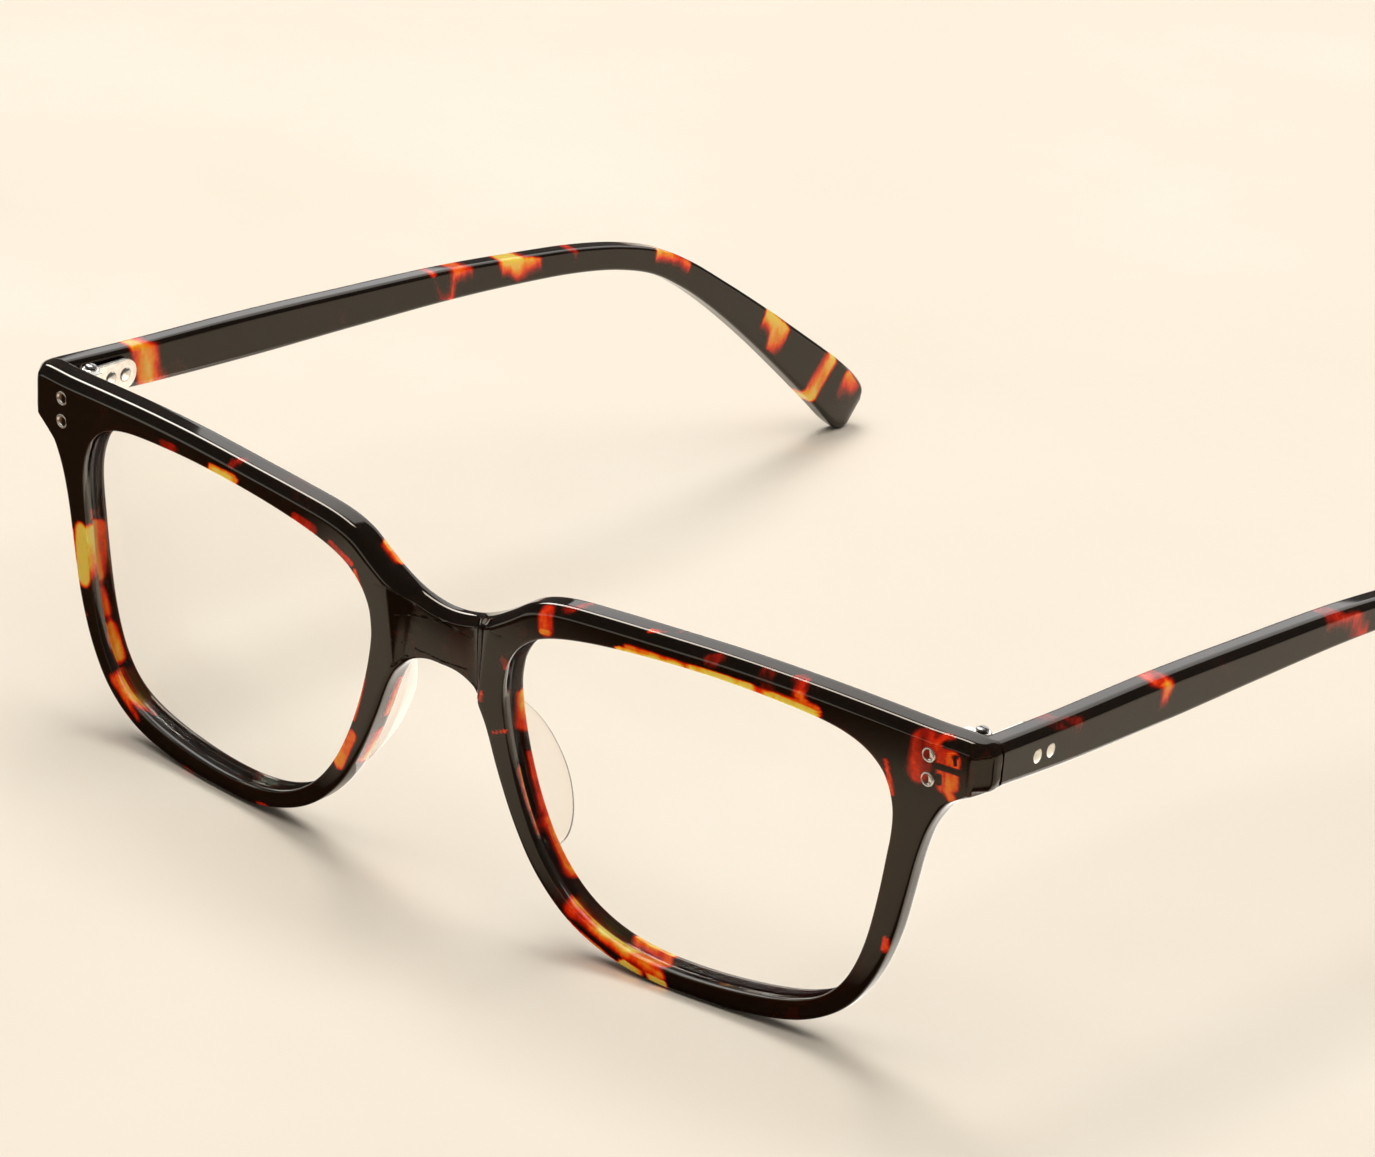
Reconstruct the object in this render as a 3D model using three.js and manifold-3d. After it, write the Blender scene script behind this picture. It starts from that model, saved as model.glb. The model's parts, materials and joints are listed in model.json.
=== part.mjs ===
// Full-rim acetate eyeglasses: two temples fold on riveted hinges behind a tortoiseshell front.
// Millimetres. +Z is up, the front faces -Y, and the pair stands open on its rims and temple tips.
// "left" and "right" are the wearer's: the wearer looks along -Y, so left is +X.
import * as THREE from "three";
import { mergeVertices } from "three/addons/utils/BufferGeometryUtils.js";
import Module from "manifold-3d";

const wasm = await Module();
wasm.setup();

// ---------------------------------------------------------------- driving dimensions
const FRONT_TILT = THREE.MathUtils.degToRad(4.2); // the brow leans forward of the rim bottoms
const FRONT_BOW = 0.00183; // depth of the front grows with the square of the distance from the middle
const FRONT_BOW_EASE = -6.6e-8; // and with its fourth power, which flattens the end pieces
const FRONT_THICKNESS = 3.6;
const BROW_CHAMFER = 1.0;
const EDGE_CHAMFER = 0.35;
const BACK_CHAMFER = 0.3;
const BACK_CHAMFER_SIDE = 2.2; // the back of the rims is rounded off most at the temples
const BACK_CHAMFER_NOSE = 0.25; // the share of that which is left beside the nose
const BACK_CHAMFER_U = [20, 52]; // where it grows on the way out from the nose
const BACK_CHAMFER_V = [2, 8]; // and where it fades on the way up to the end piece
const LEAST_WALL = 0.3; // the outer wall is never lower than this between its chamfers
const BRIDGE_SCOOP = 0.9; // how far the face of the bridge is set back
const SCOOP_HALF = 4.8; // half the width of the scoop at height zero
const SCOOP_TAPER = 0.26; // by which it widens for each millimetre up
const SCOOP_WALL = 1.4; // width of its sloping sides
const SEAM_Y = 9.8; // where the end pieces stop and the temples begin
const SEAM_BOTTOM_V = 9; // the seam is square to the ground from this height of the front up

const LIP = 1.2; // front lip of the rim, ahead of the lens groove
const GROOVE_WIDTH = 1.6;
const GROOVE_DEPTH = 0.8;
const GROOVE_SLANT = 0.1;
const LENS_ENGAGEMENT = 0.5;
const LENS_EDGE = 1.1;
const LENS_BULGE = 0.9;
const LENS_CENTRE = [35.5, -4.6];

const RIVET_RADIUS = 0.72;
const RIVET_CLEARANCE = 0.12;
const RIVET_HEAD = 0.25; // how far the rivets stand out over the leaves
const RIVET_DISH = 0.25; // depth of the hollow in a front rivet's face
const RIVET_DISH_SHARE = 0.62; // the hollow's radius over the rivet's
const FRONT_RIVET_U = 65;
const FRONT_RIVET_V = [12.8, 9.9];
const TEMPLE_RIVET_Y = [16.0, 18.4];
const TEMPLE_RIVET_Z = 12.5;

const HINGE_X = 66.9;
const HINGE_Y = 12.1;
const BARREL_RADIUS = 1.1;
const BARREL_BORE = 0.6;
const SCREW_RADIUS = 0.48;
const SCREW_HEAD_RADIUS = 1.0;
const SCREW_HEAD_HEIGHT = 0.7;
const SLOT_HALF_WIDTH = 0.15;
const SLOT_DEPTH = 0.35;
const KNUCKLE = 0.9;
const KNUCKLE_GAP = 0.15;
const HINGE_BOTTOM_Z = 9.8;
const LEAF_THICKNESS = 0.7;
const LEAF_GAP = 0.3;
const ARM_REACH = 1.9; // from the hinge's axis in to the end of a front knuckle's arm
const ARM_OVERLAP = 0.2; // how near the axis an arm comes, and how far past it

const TEMPLE_OUTER_X = 71.8;
const TEMPLE_SPLAY = 0.034; // the temples close in by this much for each millimetre of length
const CHANNEL = [1.5, 1.3]; // height and width of the channel the core wire is shot into
const WIRE = [1.0, 0.8];
const DRILL = 8; // long enough to pass through any piece it is started outside of

// ---------------------------------------------------------------- helpers
const UP = new THREE.Vector3(0, 0, 1);
const cosTilt = Math.cos(FRONT_TILT);
const sinTilt = Math.sin(FRONT_TILT);

const solidOf = (geometry) => {
  const bare = new THREE.BufferGeometry().setAttribute("position", geometry.getAttribute("position"));
  bare.setIndex(geometry.index);
  const merged = mergeVertices(bare, 1e-4);
  const mesh = new wasm.Mesh({
    numProp: 3,
    vertProperties: new Float32Array(merged.attributes.position.array),
    triVerts: new Uint32Array(merged.index.array),
  });
  return new wasm.Manifold(mesh);
};

const geometryOf = (solid) => {
  const mesh = solid.getMesh();
  const geometry = new THREE.BufferGeometry();
  geometry.setAttribute("position", new THREE.BufferAttribute(new Float32Array(mesh.vertProperties), 3));
  geometry.setIndex(new THREE.BufferAttribute(new Uint32Array(mesh.triVerts), 1));
  return geometry;
};

// The solid inside a closed surface, turned so that its faces point out.
const closedSolid = (positions, index) => {
  const geometry = new THREE.BufferGeometry();
  geometry.setAttribute("position", new THREE.Float32BufferAttribute(positions, 3));
  geometry.setIndex(index);
  const solid = solidOf(geometry);
  if (solid.volume() > 0) return solid;
  for (let i = 0; i < index.length; i += 3) [index[i + 1], index[i + 2]] = [index[i + 2], index[i + 1]];
  geometry.setIndex(index);
  return solidOf(geometry);
};

// A closed solid from rings of equal length, each an array of Vector3, capped flat at both ends.
const loft = (rings) => {
  const around = rings[0].length;
  const positions = rings.flat().flatMap((p) => [p.x, p.y, p.z]);
  const index = [];
  for (let r = 0; r + 1 < rings.length; r++) {
    for (let i = 0; i < around; i++) {
      const a = r * around + i;
      const b = r * around + ((i + 1) % around);
      index.push(a, b, b + around, a, b + around, a + around);
    }
  }
  const last = (rings.length - 1) * around;
  for (let i = 1; i + 1 < around; i++) {
    index.push(0, i + 1, i);
    index.push(last, last + i, last + i + 1);
  }
  return closedSolid(positions, index);
};

// A round bar between two points.
const bar = (from, to, radius, segments = 20) => {
  const length = from.distanceTo(to);
  const geometry = new THREE.CylinderGeometry(radius, radius, length, segments);
  const turn = new THREE.Quaternion().setFromUnitVectors(
    new THREE.Vector3(0, 1, 0),
    to.clone().sub(from).normalize(),
  );
  geometry.applyQuaternion(turn);
  geometry.translate(...from.clone().add(to).multiplyScalar(0.5).toArray());
  return solidOf(geometry);
};

const block = (low, high) => {
  const size = high.map((h, i) => h - low[i]);
  const geometry = new THREE.BoxGeometry(...size);
  geometry.translate(...low.map((l, i) => l + size[i] / 2));
  return solidOf(geometry);
};

const spline = (points, steps) =>
  new THREE.SplineCurve(points.map(([x, y]) => new THREE.Vector2(x, y))).getPoints(
    (points.length - 1) * steps,
  );

// ---------------------------------------------------------------- the front
// The front is drawn flat, u across from the middle and v up, then bowed and tilted.
const bow = (u) => FRONT_BOW * u ** 2 + FRONT_BOW_EASE * u ** 4;
const scoop = (u, v) => {
  const edge = SCOOP_HALF + SCOOP_TAPER * v;
  return BRIDGE_SCOOP * (1 - THREE.MathUtils.smoothstep(Math.abs(u), edge - SCOOP_WALL, edge));
};
const faceDepth = (u, v) => bow(u) + scoop(u, v);
const seamDepth = (v) => (SEAM_Y + Math.max(v, SEAM_BOTTOM_V) * sinTilt) / cosTilt;
const backDepth = (u, v) => Math.min(bow(u) + FRONT_THICKNESS, seamDepth(v));
const place = (u, d, v) => new THREE.Vector3(u, d * cosTilt - v * sinTilt, v * cosTilt + d * sinTilt);

// Each run pairs points of the lens opening with the points of the outer edge they face.
const BROW_RUN = {
  opening: [
    [10.35, 6.5], [11.2, 8.2], [12.2, 9.4], [13.8, 10.7], [16, 11.7], [19.5, 12.6], [25, 13.4],
    [32, 13.9], [40, 14], [48.2, 13.5], [53.5, 12.8], [57.2, 11.4], [59.4, 9.4],
  ],
  edge: [
    [0, 9.3], [4, 9.9], [7.3, 11.3], [10, 12.9], [12.8, 14.7], [16.4, 15.75], [23, 16.3],
    [31, 16.6], [40, 16.75], [49, 16.5], [57, 16], [64.5, 15.4], [70.6, 14.95],
  ],
};
const END_RUN = {
  opening: [[59.4, 9.4], [60, 8.3], [60.5, 7], [60.9, 5.2]],
  edge: [[70.6, 14.95], [71.6, 13.95], [71.7, 12], [71.6, 9.4]],
};
const RIM_RUN = {
  opening: [
    [60.9, 5.2], [60.95, 3.4], [60.8, 1.4], [60.5, -0.6], [60.1, -3.4], [59.3, -8], [58.2, -12.6],
    [56.2, -17.2], [53.2, -20.3], [48.8, -22], [42.5, -23], [34.6, -23.4], [27, -22.7], [20.8, -20.1],
    [16.4, -15.8], [13.6, -10.8], [11.8, -6], [10.6, -1.5], [10.1, 1.5], [9.95, 3], [9.95, 4],
  ],
  edge: [
    [71.6, 9.4], [69.7, 8.95], [67.4, 7.5], [65.4, 4.2], [64.1, 0.2], [63, -5], [61.6, -11],
    [59.3, -16.6], [56, -21], [51, -24], [44, -25.4], [35.5, -25.8], [27.5, -25], [20.3, -22.2],
    [15.2, -17.7], [11.9, -12.6], [9.2, -6.7], [7.1, -1.3], [5.3, 1.3], [2.8, 2.5], [0, 2.7],
  ],
};
const MIDDLE_RUN = {
  opening: [[9.95, 4], [10.1, 5.2], [10.35, 6.5]],
  edge: [[0, 2.7], [0, 6.2], [0, 9.3]],
};
const STEPS = 2;
const SIDE_START = 71.5; // edge points beyond this lie on the flat side of the end piece
const SIDE_CHAMFER = 1.5;
const END_CORNER_V = 13.5; // above this the brow chamfer runs on round the corner of the end piece
const SIDE_CHAMFER_DEPTH = 1.9;

// Stations go once round the lens opening, from the top of the bridge over the brow.
const stations = [];
for (const run of [BROW_RUN, END_RUN, RIM_RUN, MIDDLE_RUN]) {
  const opening = spline(run.opening, STEPS);
  const edge = spline(run.edge, STEPS);
  for (let i = 0; i + 1 < opening.length; i++) {
    stations.push({ opening: opening[i], edge: edge[i], run, atMiddle: Math.abs(edge[i].x) < 1e-6 });
  }
}

const outward = (key, i) => {
  const n = stations.length;
  const before = stations[(i + n - 1) % n][key];
  const after = stations[(i + 1) % n][key];
  return new THREE.Vector2(-(after.y - before.y), after.x - before.x).normalize();
};
// The face ends short of the outer edge, where the chamfer starts.
const chamferInset = (s) => {
  if (s.run === BROW_RUN || s.edge.y > END_CORNER_V) return BROW_CHAMFER;
  if (s.run === MIDDLE_RUN && s.edge.y > RIM_RUN.edge.at(-1)[1]) return 0;
  return EDGE_CHAMFER;
};
const backChamferOf = (s) => {
  if (s.run !== RIM_RUN) return BACK_CHAMFER;
  const below = 1 - THREE.MathUtils.smoothstep(s.edge.y, ...BACK_CHAMFER_V);
  const aside = THREE.MathUtils.smoothstep(s.edge.x, ...BACK_CHAMFER_U);
  const share = below * THREE.MathUtils.lerp(BACK_CHAMFER_NOSE, 1, aside);
  return THREE.MathUtils.lerp(BACK_CHAMFER, BACK_CHAMFER_SIDE, share);
};
stations.forEach((s, i) => {
  const onSide = s.edge.x > SIDE_START;
  s.openingNormal = outward("opening", i);
  s.chamferDepth = onSide ? SIDE_CHAMFER_DEPTH : chamferInset(s);
  s.face = s.edge.clone().addScaledVector(outward("edge", i), -chamferInset(s));
  if (s.atMiddle) s.face.set(0, s.edge.y + (s.run === BROW_RUN ? -BROW_CHAMFER : chamferInset(s)));
  s.face.x = Math.min(s.face.x, SIDE_START - SIDE_CHAMFER);
  s.backChamfer = backChamferOf(s);
  s.backEdge = s.edge.clone().addScaledVector(outward("edge", i), -s.backChamfer);
  if (s.atMiddle) s.backEdge.set(0, s.edge.y + Math.sign(s.face.y - s.edge.y) * BACK_CHAMFER);
});

// Where the face is sampled between the opening and the chamfer: the scoop starts and ends on a line.
const ACROSS = [0, 0.37, 0.52, 1];

// The section of the rim at one station, as points from the opening round and back to it.
const sectionOf = (s, side) => {
  const at = (p, depth) => place(side * p.x, depth, p.y);
  const grown = (g) => s.opening.clone().addScaledVector(s.openingNormal, g);
  const face = ACROSS.map((t) => s.opening.clone().lerp(s.face, t)).map((p) => at(p, faceDepth(p.x, p.y)));
  const wallBack = backDepth(s.edge.x, s.edge.y) - s.backChamfer;
  const wallFront = Math.min(faceDepth(s.edge.x, s.edge.y) + s.chamferDepth, wallBack - LEAST_WALL);
  const wall = [at(s.edge, wallFront), at(s.edge, wallBack)];
  const back = [1, 0.5, 0].map((t) => s.opening.clone().lerp(s.backEdge, t));
  const grooveFront = bow(s.opening.x) + LIP;
  const groove = [
    at(s.opening, grooveFront + GROOVE_WIDTH),
    at(grown(GROOVE_DEPTH), grooveFront + GROOVE_WIDTH - GROOVE_SLANT),
    at(grown(GROOVE_DEPTH), grooveFront + GROOVE_SLANT),
    at(s.opening, grooveFront),
  ];
  return [...face, ...wall, ...back.map((p) => at(p, backDepth(p.x, p.y))), ...groove];
};

const buildFront = () => {
  const positions = [];
  const index = [];
  const ringSize = sectionOf(stations[0], 1).length;
  const firstWall = ACROSS.length - 1;
  const lastWall = firstWall + 2; // the strips between these two close the outer side
  for (const side of [1, -1]) {
    const base = positions.length / 3;
    for (const s of stations) for (const p of sectionOf(s, side)) positions.push(p.x, p.y, p.z);
    stations.forEach((s, i) => {
      const next = (i + 1) % stations.length;
      const along = s.atMiddle && stations[next].atMiddle;
      for (let j = 0; j < ringSize; j++) {
        if (along && j >= firstWall && j <= lastWall) continue; // the halves are one solid here
        const k = (j + 1) % ringSize;
        const a = base + i * ringSize + j;
        const b = base + i * ringSize + k;
        const c = base + next * ringSize + k;
        const d = base + next * ringSize + j;
        if (side > 0) index.push(a, c, b, a, d, c);
        else index.push(a, b, c, a, c, d);
      }
    });
  }
  return closedSolid(positions, index);
};

// ---------------------------------------------------------------- lens
const LENS_RINGS = [0.5, 1];
const buildLens = (side) => {
  const positions = [];
  const index = [];
  const n = stations.length;
  const centre = new THREE.Vector2(...LENS_CENTRE);
  const rimFront = LIP + (GROOVE_WIDTH - LENS_EDGE) / 2;
  const frontOf = (p, reach) => bow(p.x) + rimFront - LENS_BULGE * (1 - reach ** 2);
  const push = (p, depth) => positions.push(...place(side * p.x, depth, p.y).toArray());
  for (const behind of [0, LENS_EDGE]) {
    push(centre, frontOf(centre, 0) + behind);
    for (const reach of LENS_RINGS) {
      for (const s of stations) {
        const rim = s.opening.clone().addScaledVector(s.openingNormal, LENS_ENGAGEMENT);
        const p = centre.clone().lerp(rim, reach);
        push(p, frontOf(p, reach) + behind);
      }
    }
  }
  const sheet = 1 + n * LENS_RINGS.length;
  const quad = (a, b, c, d) => index.push(a, b, c, a, c, d);
  for (let i = 0; i < n; i++) {
    const j = (i + 1) % n;
    index.push(0, 1 + i, 1 + j);
    index.push(sheet, sheet + 1 + j, sheet + 1 + i);
    quad(1 + i, 1 + n + i, 1 + n + j, 1 + j);
    quad(sheet + 1 + j, sheet + 1 + n + j, sheet + 1 + n + i, sheet + 1 + i);
    quad(1 + n + i, sheet + 1 + n + i, sheet + 1 + n + j, 1 + n + j);
  }
  return closedSolid(positions, index);
};

// ---------------------------------------------------------------- nose pad
// The pad grows out of the back of the rim beside the nose: a rounded fin, deepest below its middle.
const PAD_TOP = 0.8;
const PAD_BOTTOM = -15.5;
const PAD_REACH = 5;
const PAD_HALF_WIDTH = 1.5;
const PAD_FLARE = 0.15;
const PAD_INSET = 1.3;
const PAD_GAP = 0.3;
const PAD_END = 0.02; // the first and last sections stop short of the pad's ends by this share
const PAD_SKEW = 0.8; // below 1, the pad is deepest below its middle
const PAD_FULLNESS = 0.6; // the lower, the blunter the ends
const PAD_END_WIDTH = 0.4; // width at the ends over width at the middle
const PAD_RINGS = 14;
const PAD_ROUND = 8;
const nasalEdge = spline(RIM_RUN.edge.slice(-9), 6);
const nasalU = (v) => {
  const i = Math.max(1, nasalEdge.findIndex((p) => p.y > v));
  const [low, high] = [nasalEdge[i - 1], nasalEdge[i]];
  return THREE.MathUtils.lerp(low.x, high.x, (v - low.y) / (high.y - low.y));
};
const buildPad = (side) => {
  const rings = [];
  for (let r = 0; r <= PAD_RINGS; r++) {
    const along = THREE.MathUtils.lerp(PAD_END, 1 - PAD_END, r / PAD_RINGS);
    const v = THREE.MathUtils.lerp(PAD_BOTTOM, PAD_TOP, along);
    const fullness = Math.sin(Math.PI * along ** PAD_SKEW) ** PAD_FULLNESS;
    const halfWidth = PAD_HALF_WIDTH * THREE.MathUtils.lerp(PAD_END_WIDTH, 1, fullness);
    const middle = nasalU(v) + PAD_INSET;
    const ring = [];
    for (let i = 0; i <= PAD_ROUND; i++) {
      const angle = (Math.PI * i) / PAD_ROUND;
      const rise = PAD_REACH * fullness * Math.sin(angle);
      const u = middle - halfWidth * Math.cos(angle) + PAD_FLARE * rise;
      ring.push(place(side * u, backDepth(middle, v) + PAD_GAP + rise, v));
    }
    rings.push(ring);
  }
  return loft(rings);
};

// ---------------------------------------------------------------- temple lines
const outerX = (y) => TEMPLE_OUTER_X - TEMPLE_SPLAY * (y - SEAM_Y);
// Rows of centre line y, z, height and thickness, from the hinge to the tip.
const TEMPLE_ROWS = [
  [10.1, 13.05, 5.1, 3.2],
  [22, 12.5, 5.4, 3.2],
  [40, 12.15, 5.5, 3.2],
  [58, 11.75, 4.9, 3.1],
  [75, 11.25, 4.2, 3],
  [88, 10.4, 3.6, 2.9],
  [98, 9.5, 3.3, 2.9],
  [106, 8.2, 3.2, 2.9],
  [113, 6.2, 3.3, 2.9],
  [119, 3.2, 3.5, 2.9],
  [125, -0.6, 3.8, 2.9],
  [133, -6.2, 4.7, 2.9],
  [141, -12.2, 5.8, 2.9],
  [149.2, -18.6, 7, 2.8],
  [152.2, -21.2, 7.2, 2.6],
  [154.2, -22.95, 6.6, 2.1],
  [155.1, -23.7, 5, 1.4],
];

// ---------------------------------------------------------------- hinge
const hingeAxis = (side) => [side * HINGE_X, HINGE_Y];
// Barrel stack, bottom to top: the front leaf carries the even knuckles and the temple leaf the odd.
const knuckleSpan = (k) => {
  const low = HINGE_BOTTOM_Z + k * (KNUCKLE + KNUCKLE_GAP);
  return [low, low + KNUCKLE];
};
const KNUCKLES = 5;
const HINGE_TOP_Z = knuckleSpan(KNUCKLES - 1)[1];
const upright = (side, low, high, radius, segments) => {
  const [x, y] = hingeAxis(side);
  return bar(new THREE.Vector3(x, y, low), new THREE.Vector3(x, y, high), radius, segments);
};
const sideBlock = (side, low, high) =>
  side > 0 ? block(low, high) : block([-high[0], low[1], low[2]], [-low[0], high[1], high[2]]);

const frontRivetAxis = (side, v) => {
  const depth = bow(FRONT_RIVET_U);
  return [place(side * FRONT_RIVET_U, depth, v), place(side * FRONT_RIVET_U, depth + 1, v)];
};
const alongAxis = ([from, ahead], low, high, radius) => {
  const direction = ahead.clone().sub(from);
  return bar(
    from.clone().addScaledVector(direction, low),
    from.clone().addScaledVector(direction, high),
    radius,
  );
};

const FRONT_LEAF_U = [62.6, 66.4];
const FRONT_LEAF_V = [8.9, 14.6];
const buildFrontLeaf = (side) => {
  const corner = (u, v, out) => place(side * u, bow(u) + FRONT_THICKNESS + LEAF_GAP + out, v);
  const ring = (v) => [
    corner(FRONT_LEAF_U[0], v, 0),
    corner(FRONT_LEAF_U[1], v, 0),
    corner(FRONT_LEAF_U[1], v, LEAF_THICKNESS),
    corner(FRONT_LEAF_U[0], v, LEAF_THICKNESS),
  ];
  let leaf = loft(FRONT_LEAF_V.map(ring));
  for (let k = 0; k < KNUCKLES; k += 2) {
    const [low, high] = knuckleSpan(k);
    leaf = leaf.add(upright(side, low, high, BARREL_RADIUS, 24));
    const near = [HINGE_X - ARM_REACH, HINGE_Y - ARM_REACH, low];
    leaf = leaf.add(sideBlock(side, near, [HINGE_X - ARM_OVERLAP, HINGE_Y + ARM_OVERLAP, high]));
  }
  leaf = leaf.subtract(upright(side, 0, HINGE_TOP_Z + DRILL, BARREL_BORE, 20));
  for (const v of FRONT_RIVET_V) {
    leaf = leaf.subtract(alongAxis(frontRivetAxis(side, v), 0, DRILL, RIVET_RADIUS + RIVET_CLEARANCE));
  }
  return leaf;
};

const TEMPLE_LEAF_Y = [13.4, 18.4];
const TEMPLE_LEAF_HALF_HEIGHT = 1.9;
const leafEndX = outerX(TEMPLE_LEAF_Y[1] + TEMPLE_LEAF_HALF_HEIGHT);
const TEMPLE_LEAF_X = leafEndX - TEMPLE_ROWS[0][3] - LEAF_GAP - LEAF_THICKNESS;
const buildTempleLeaf = (side) => {
  const outer = TEMPLE_LEAF_X + LEAF_THICKNESS;
  const [z0, z1] = [TEMPLE_RIVET_Z - TEMPLE_LEAF_HALF_HEIGHT, TEMPLE_RIVET_Z + TEMPLE_LEAF_HALF_HEIGHT];
  let leaf = sideBlock(side, [TEMPLE_LEAF_X, TEMPLE_LEAF_Y[0], z0], [outer, TEMPLE_LEAF_Y[1], z1]);
  leaf = leaf.add(
    bar(
      new THREE.Vector3(side * TEMPLE_LEAF_X, TEMPLE_LEAF_Y[1], TEMPLE_RIVET_Z),
      new THREE.Vector3(side * outer, TEMPLE_LEAF_Y[1], TEMPLE_RIVET_Z),
      TEMPLE_LEAF_HALF_HEIGHT,
      32,
    ),
  );
  for (let k = 1; k < KNUCKLES; k += 2) {
    const [low, high] = knuckleSpan(k);
    leaf = leaf.add(upright(side, low, high, BARREL_RADIUS, 24));
    const far = [outer, TEMPLE_LEAF_Y[0] + ARM_OVERLAP, high];
    leaf = leaf.add(sideBlock(side, [HINGE_X + ARM_OVERLAP, HINGE_Y, low], far));
  }
  leaf = leaf.subtract(upright(side, 0, HINGE_TOP_Z + DRILL, BARREL_BORE, 20));
  for (const y of TEMPLE_RIVET_Y) {
    leaf = leaf.subtract(templeRivetHole(side, y));
  }
  return leaf;
};

const buildScrew = (side) => {
  const shaft = upright(side, HINGE_BOTTOM_Z, HINGE_TOP_Z + KNUCKLE_GAP, SCREW_RADIUS, 20);
  const headBottom = HINGE_TOP_Z + KNUCKLE_GAP / 2;
  const head = upright(side, headBottom, headBottom + SCREW_HEAD_HEIGHT, SCREW_HEAD_RADIUS, 24);
  const [x, y] = hingeAxis(side);
  const slotTop = headBottom + SCREW_HEAD_HEIGHT;
  const slot = block(
    [x - DRILL, y - SLOT_HALF_WIDTH, slotTop - SLOT_DEPTH],
    [x + DRILL, y + SLOT_HALF_WIDTH, slotTop + DRILL],
  );
  return shaft.add(head).subtract(slot);
};

// ---------------------------------------------------------------- rivets
const templeRivetBar = (side, y, low, high, radius) =>
  bar(
    new THREE.Vector3(side * low, y, TEMPLE_RIVET_Z),
    new THREE.Vector3(side * high, y, TEMPLE_RIVET_Z),
    radius,
  );
const templeRivetHole = (side, y) =>
  templeRivetBar(side, y, TEMPLE_OUTER_X - DRILL, TEMPLE_OUTER_X + DRILL, RIVET_RADIUS + RIVET_CLEARANCE);
const buildFrontRivet = (side, v) => {
  const axis = frontRivetAxis(side, v);
  const length = FRONT_THICKNESS + LEAF_GAP + LEAF_THICKNESS + RIVET_HEAD;
  const body = alongAxis(axis, 0, length, RIVET_RADIUS);
  return body.subtract(alongAxis(axis, -DRILL, RIVET_DISH, RIVET_RADIUS * RIVET_DISH_SHARE));
};
const buildTempleRivet = (side, y) =>
  templeRivetBar(side, y, TEMPLE_LEAF_X - RIVET_HEAD, outerX(y), RIVET_RADIUS);

// ---------------------------------------------------------------- temple
const TEMPLE_STEPS = 3;
const TIP_START_Y = 141;
const TIP_THICKNESS = 2.9;
const OUTER_CHAMFER = 0.9;
const INNER_CHAMFER = 0.45;
const FULL_HEIGHT = 5; // where the temple is lower than this, its chamfers shrink with it
const templeLine = (column) =>
  new THREE.CatmullRomCurve3(
    TEMPLE_ROWS.map((row) => new THREE.Vector3(row[0], row[1], row[column])),
    false,
    "centripetal",
  ).getPoints((TEMPLE_ROWS.length - 1) * TEMPLE_STEPS);
const templeHeights = templeLine(2);
const templeThicknesses = templeLine(3);
const templeStations = templeHeights.map((p, i) => {
  const before = templeHeights[Math.max(0, i - 1)];
  const after = templeHeights[Math.min(templeHeights.length - 1, i + 1)];
  const along = new THREE.Vector2(after.x - before.x, after.y - before.y).normalize();
  const thickness = templeThicknesses[i].z;
  const inset = p.x > TIP_START_Y ? (TIP_THICKNESS - thickness) / 2 : 0; // the tip thins about its middle
  return { y: p.x, z: p.y, height: p.z, thickness, inset, along };
});
templeStations[0].along.set(1, 0); // the front end is cut square to meet the end piece

const templePoint = (s, side, x, rise) =>
  new THREE.Vector3(side * x, s.y - s.along.y * rise, s.z + s.along.x * rise);
const templeRing = (s, side) => {
  const out = outerX(s.y) - s.inset;
  const inn = out - s.thickness;
  const [top, low] = [s.height / 2, -s.height / 2];
  const shrink = Math.min(1, s.height / FULL_HEIGHT);
  const [c, e] = [OUTER_CHAMFER * shrink, INNER_CHAMFER * shrink];
  return [
    [inn + e, low], [out - e, low], [out, low + e], [out, top - c],
    [out - c, top], [inn + e, top], [inn, top - e], [inn, low + e],
  ].map(([x, rise]) => templePoint(s, side, x, rise));
};
const slabRing = (s, side, [height, width]) => {
  const middle = outerX(s.y) - s.thickness / 2;
  return [[-1, -1], [1, -1], [1, 1], [-1, 1]].map(([a, b]) =>
    templePoint(s, side, middle + (a * width) / 2, (b * height) / 2),
  );
};
const CHANNEL_END_Y = 146;
const WIRE_Y = [21, 142.5];
const buildTemple = (side) => {
  const rings = templeStations.map((s) => templeRing(s, side));
  const channelStations = templeStations.filter((s) => s.y < CHANNEL_END_Y);
  const mouth = { ...channelStations[0], y: channelStations[0].y - 1 };
  const channel = loft([mouth, ...channelStations].map((s) => slabRing(s, side, CHANNEL)));
  let temple = loft(rings).subtract(channel);
  for (const y of TEMPLE_RIVET_Y) {
    temple = temple.subtract(templeRivetHole(side, y));
  }
  return temple;
};
const buildWire = (side) =>
  loft(
    templeStations
      .filter((s) => s.y > WIRE_Y[0] && s.y < WIRE_Y[1])
      .map((s) => slabRing(s, side, WIRE)),
  );

// ---------------------------------------------------------------- assembly
const material = (color, roughness, metalness, extra = {}) => () =>
  new THREE.MeshStandardMaterial({ color, roughness, metalness, ...extra });
const acetate = material(0x2b140b, 0.12, 0);
const clearAcetate = material(0xf2ddd2, 0.15, 0, { transparent: true, opacity: 0.5 });
const clearLens = material(0xf6f9f7, 0.03, 0, { transparent: true, opacity: 0.2 });
const nickel = material(0xb9b1a5, 0.28, 1);
const steel = material(0x9a9a9c, 0.4, 1);

const pair = new THREE.Group();
const add = (name, solid, make) => {
  const mesh = new THREE.Mesh(geometryOf(solid), make());
  mesh.name = name;
  pair.add(mesh);
};

let front = buildFront();
for (const side of [1, -1]) {
  for (const v of FRONT_RIVET_V) {
    front = front.subtract(alongAxis(frontRivetAxis(side, v), -DRILL, DRILL, RIVET_RADIUS + RIVET_CLEARANCE));
  }
}
add("frame_front", front, acetate);

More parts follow.
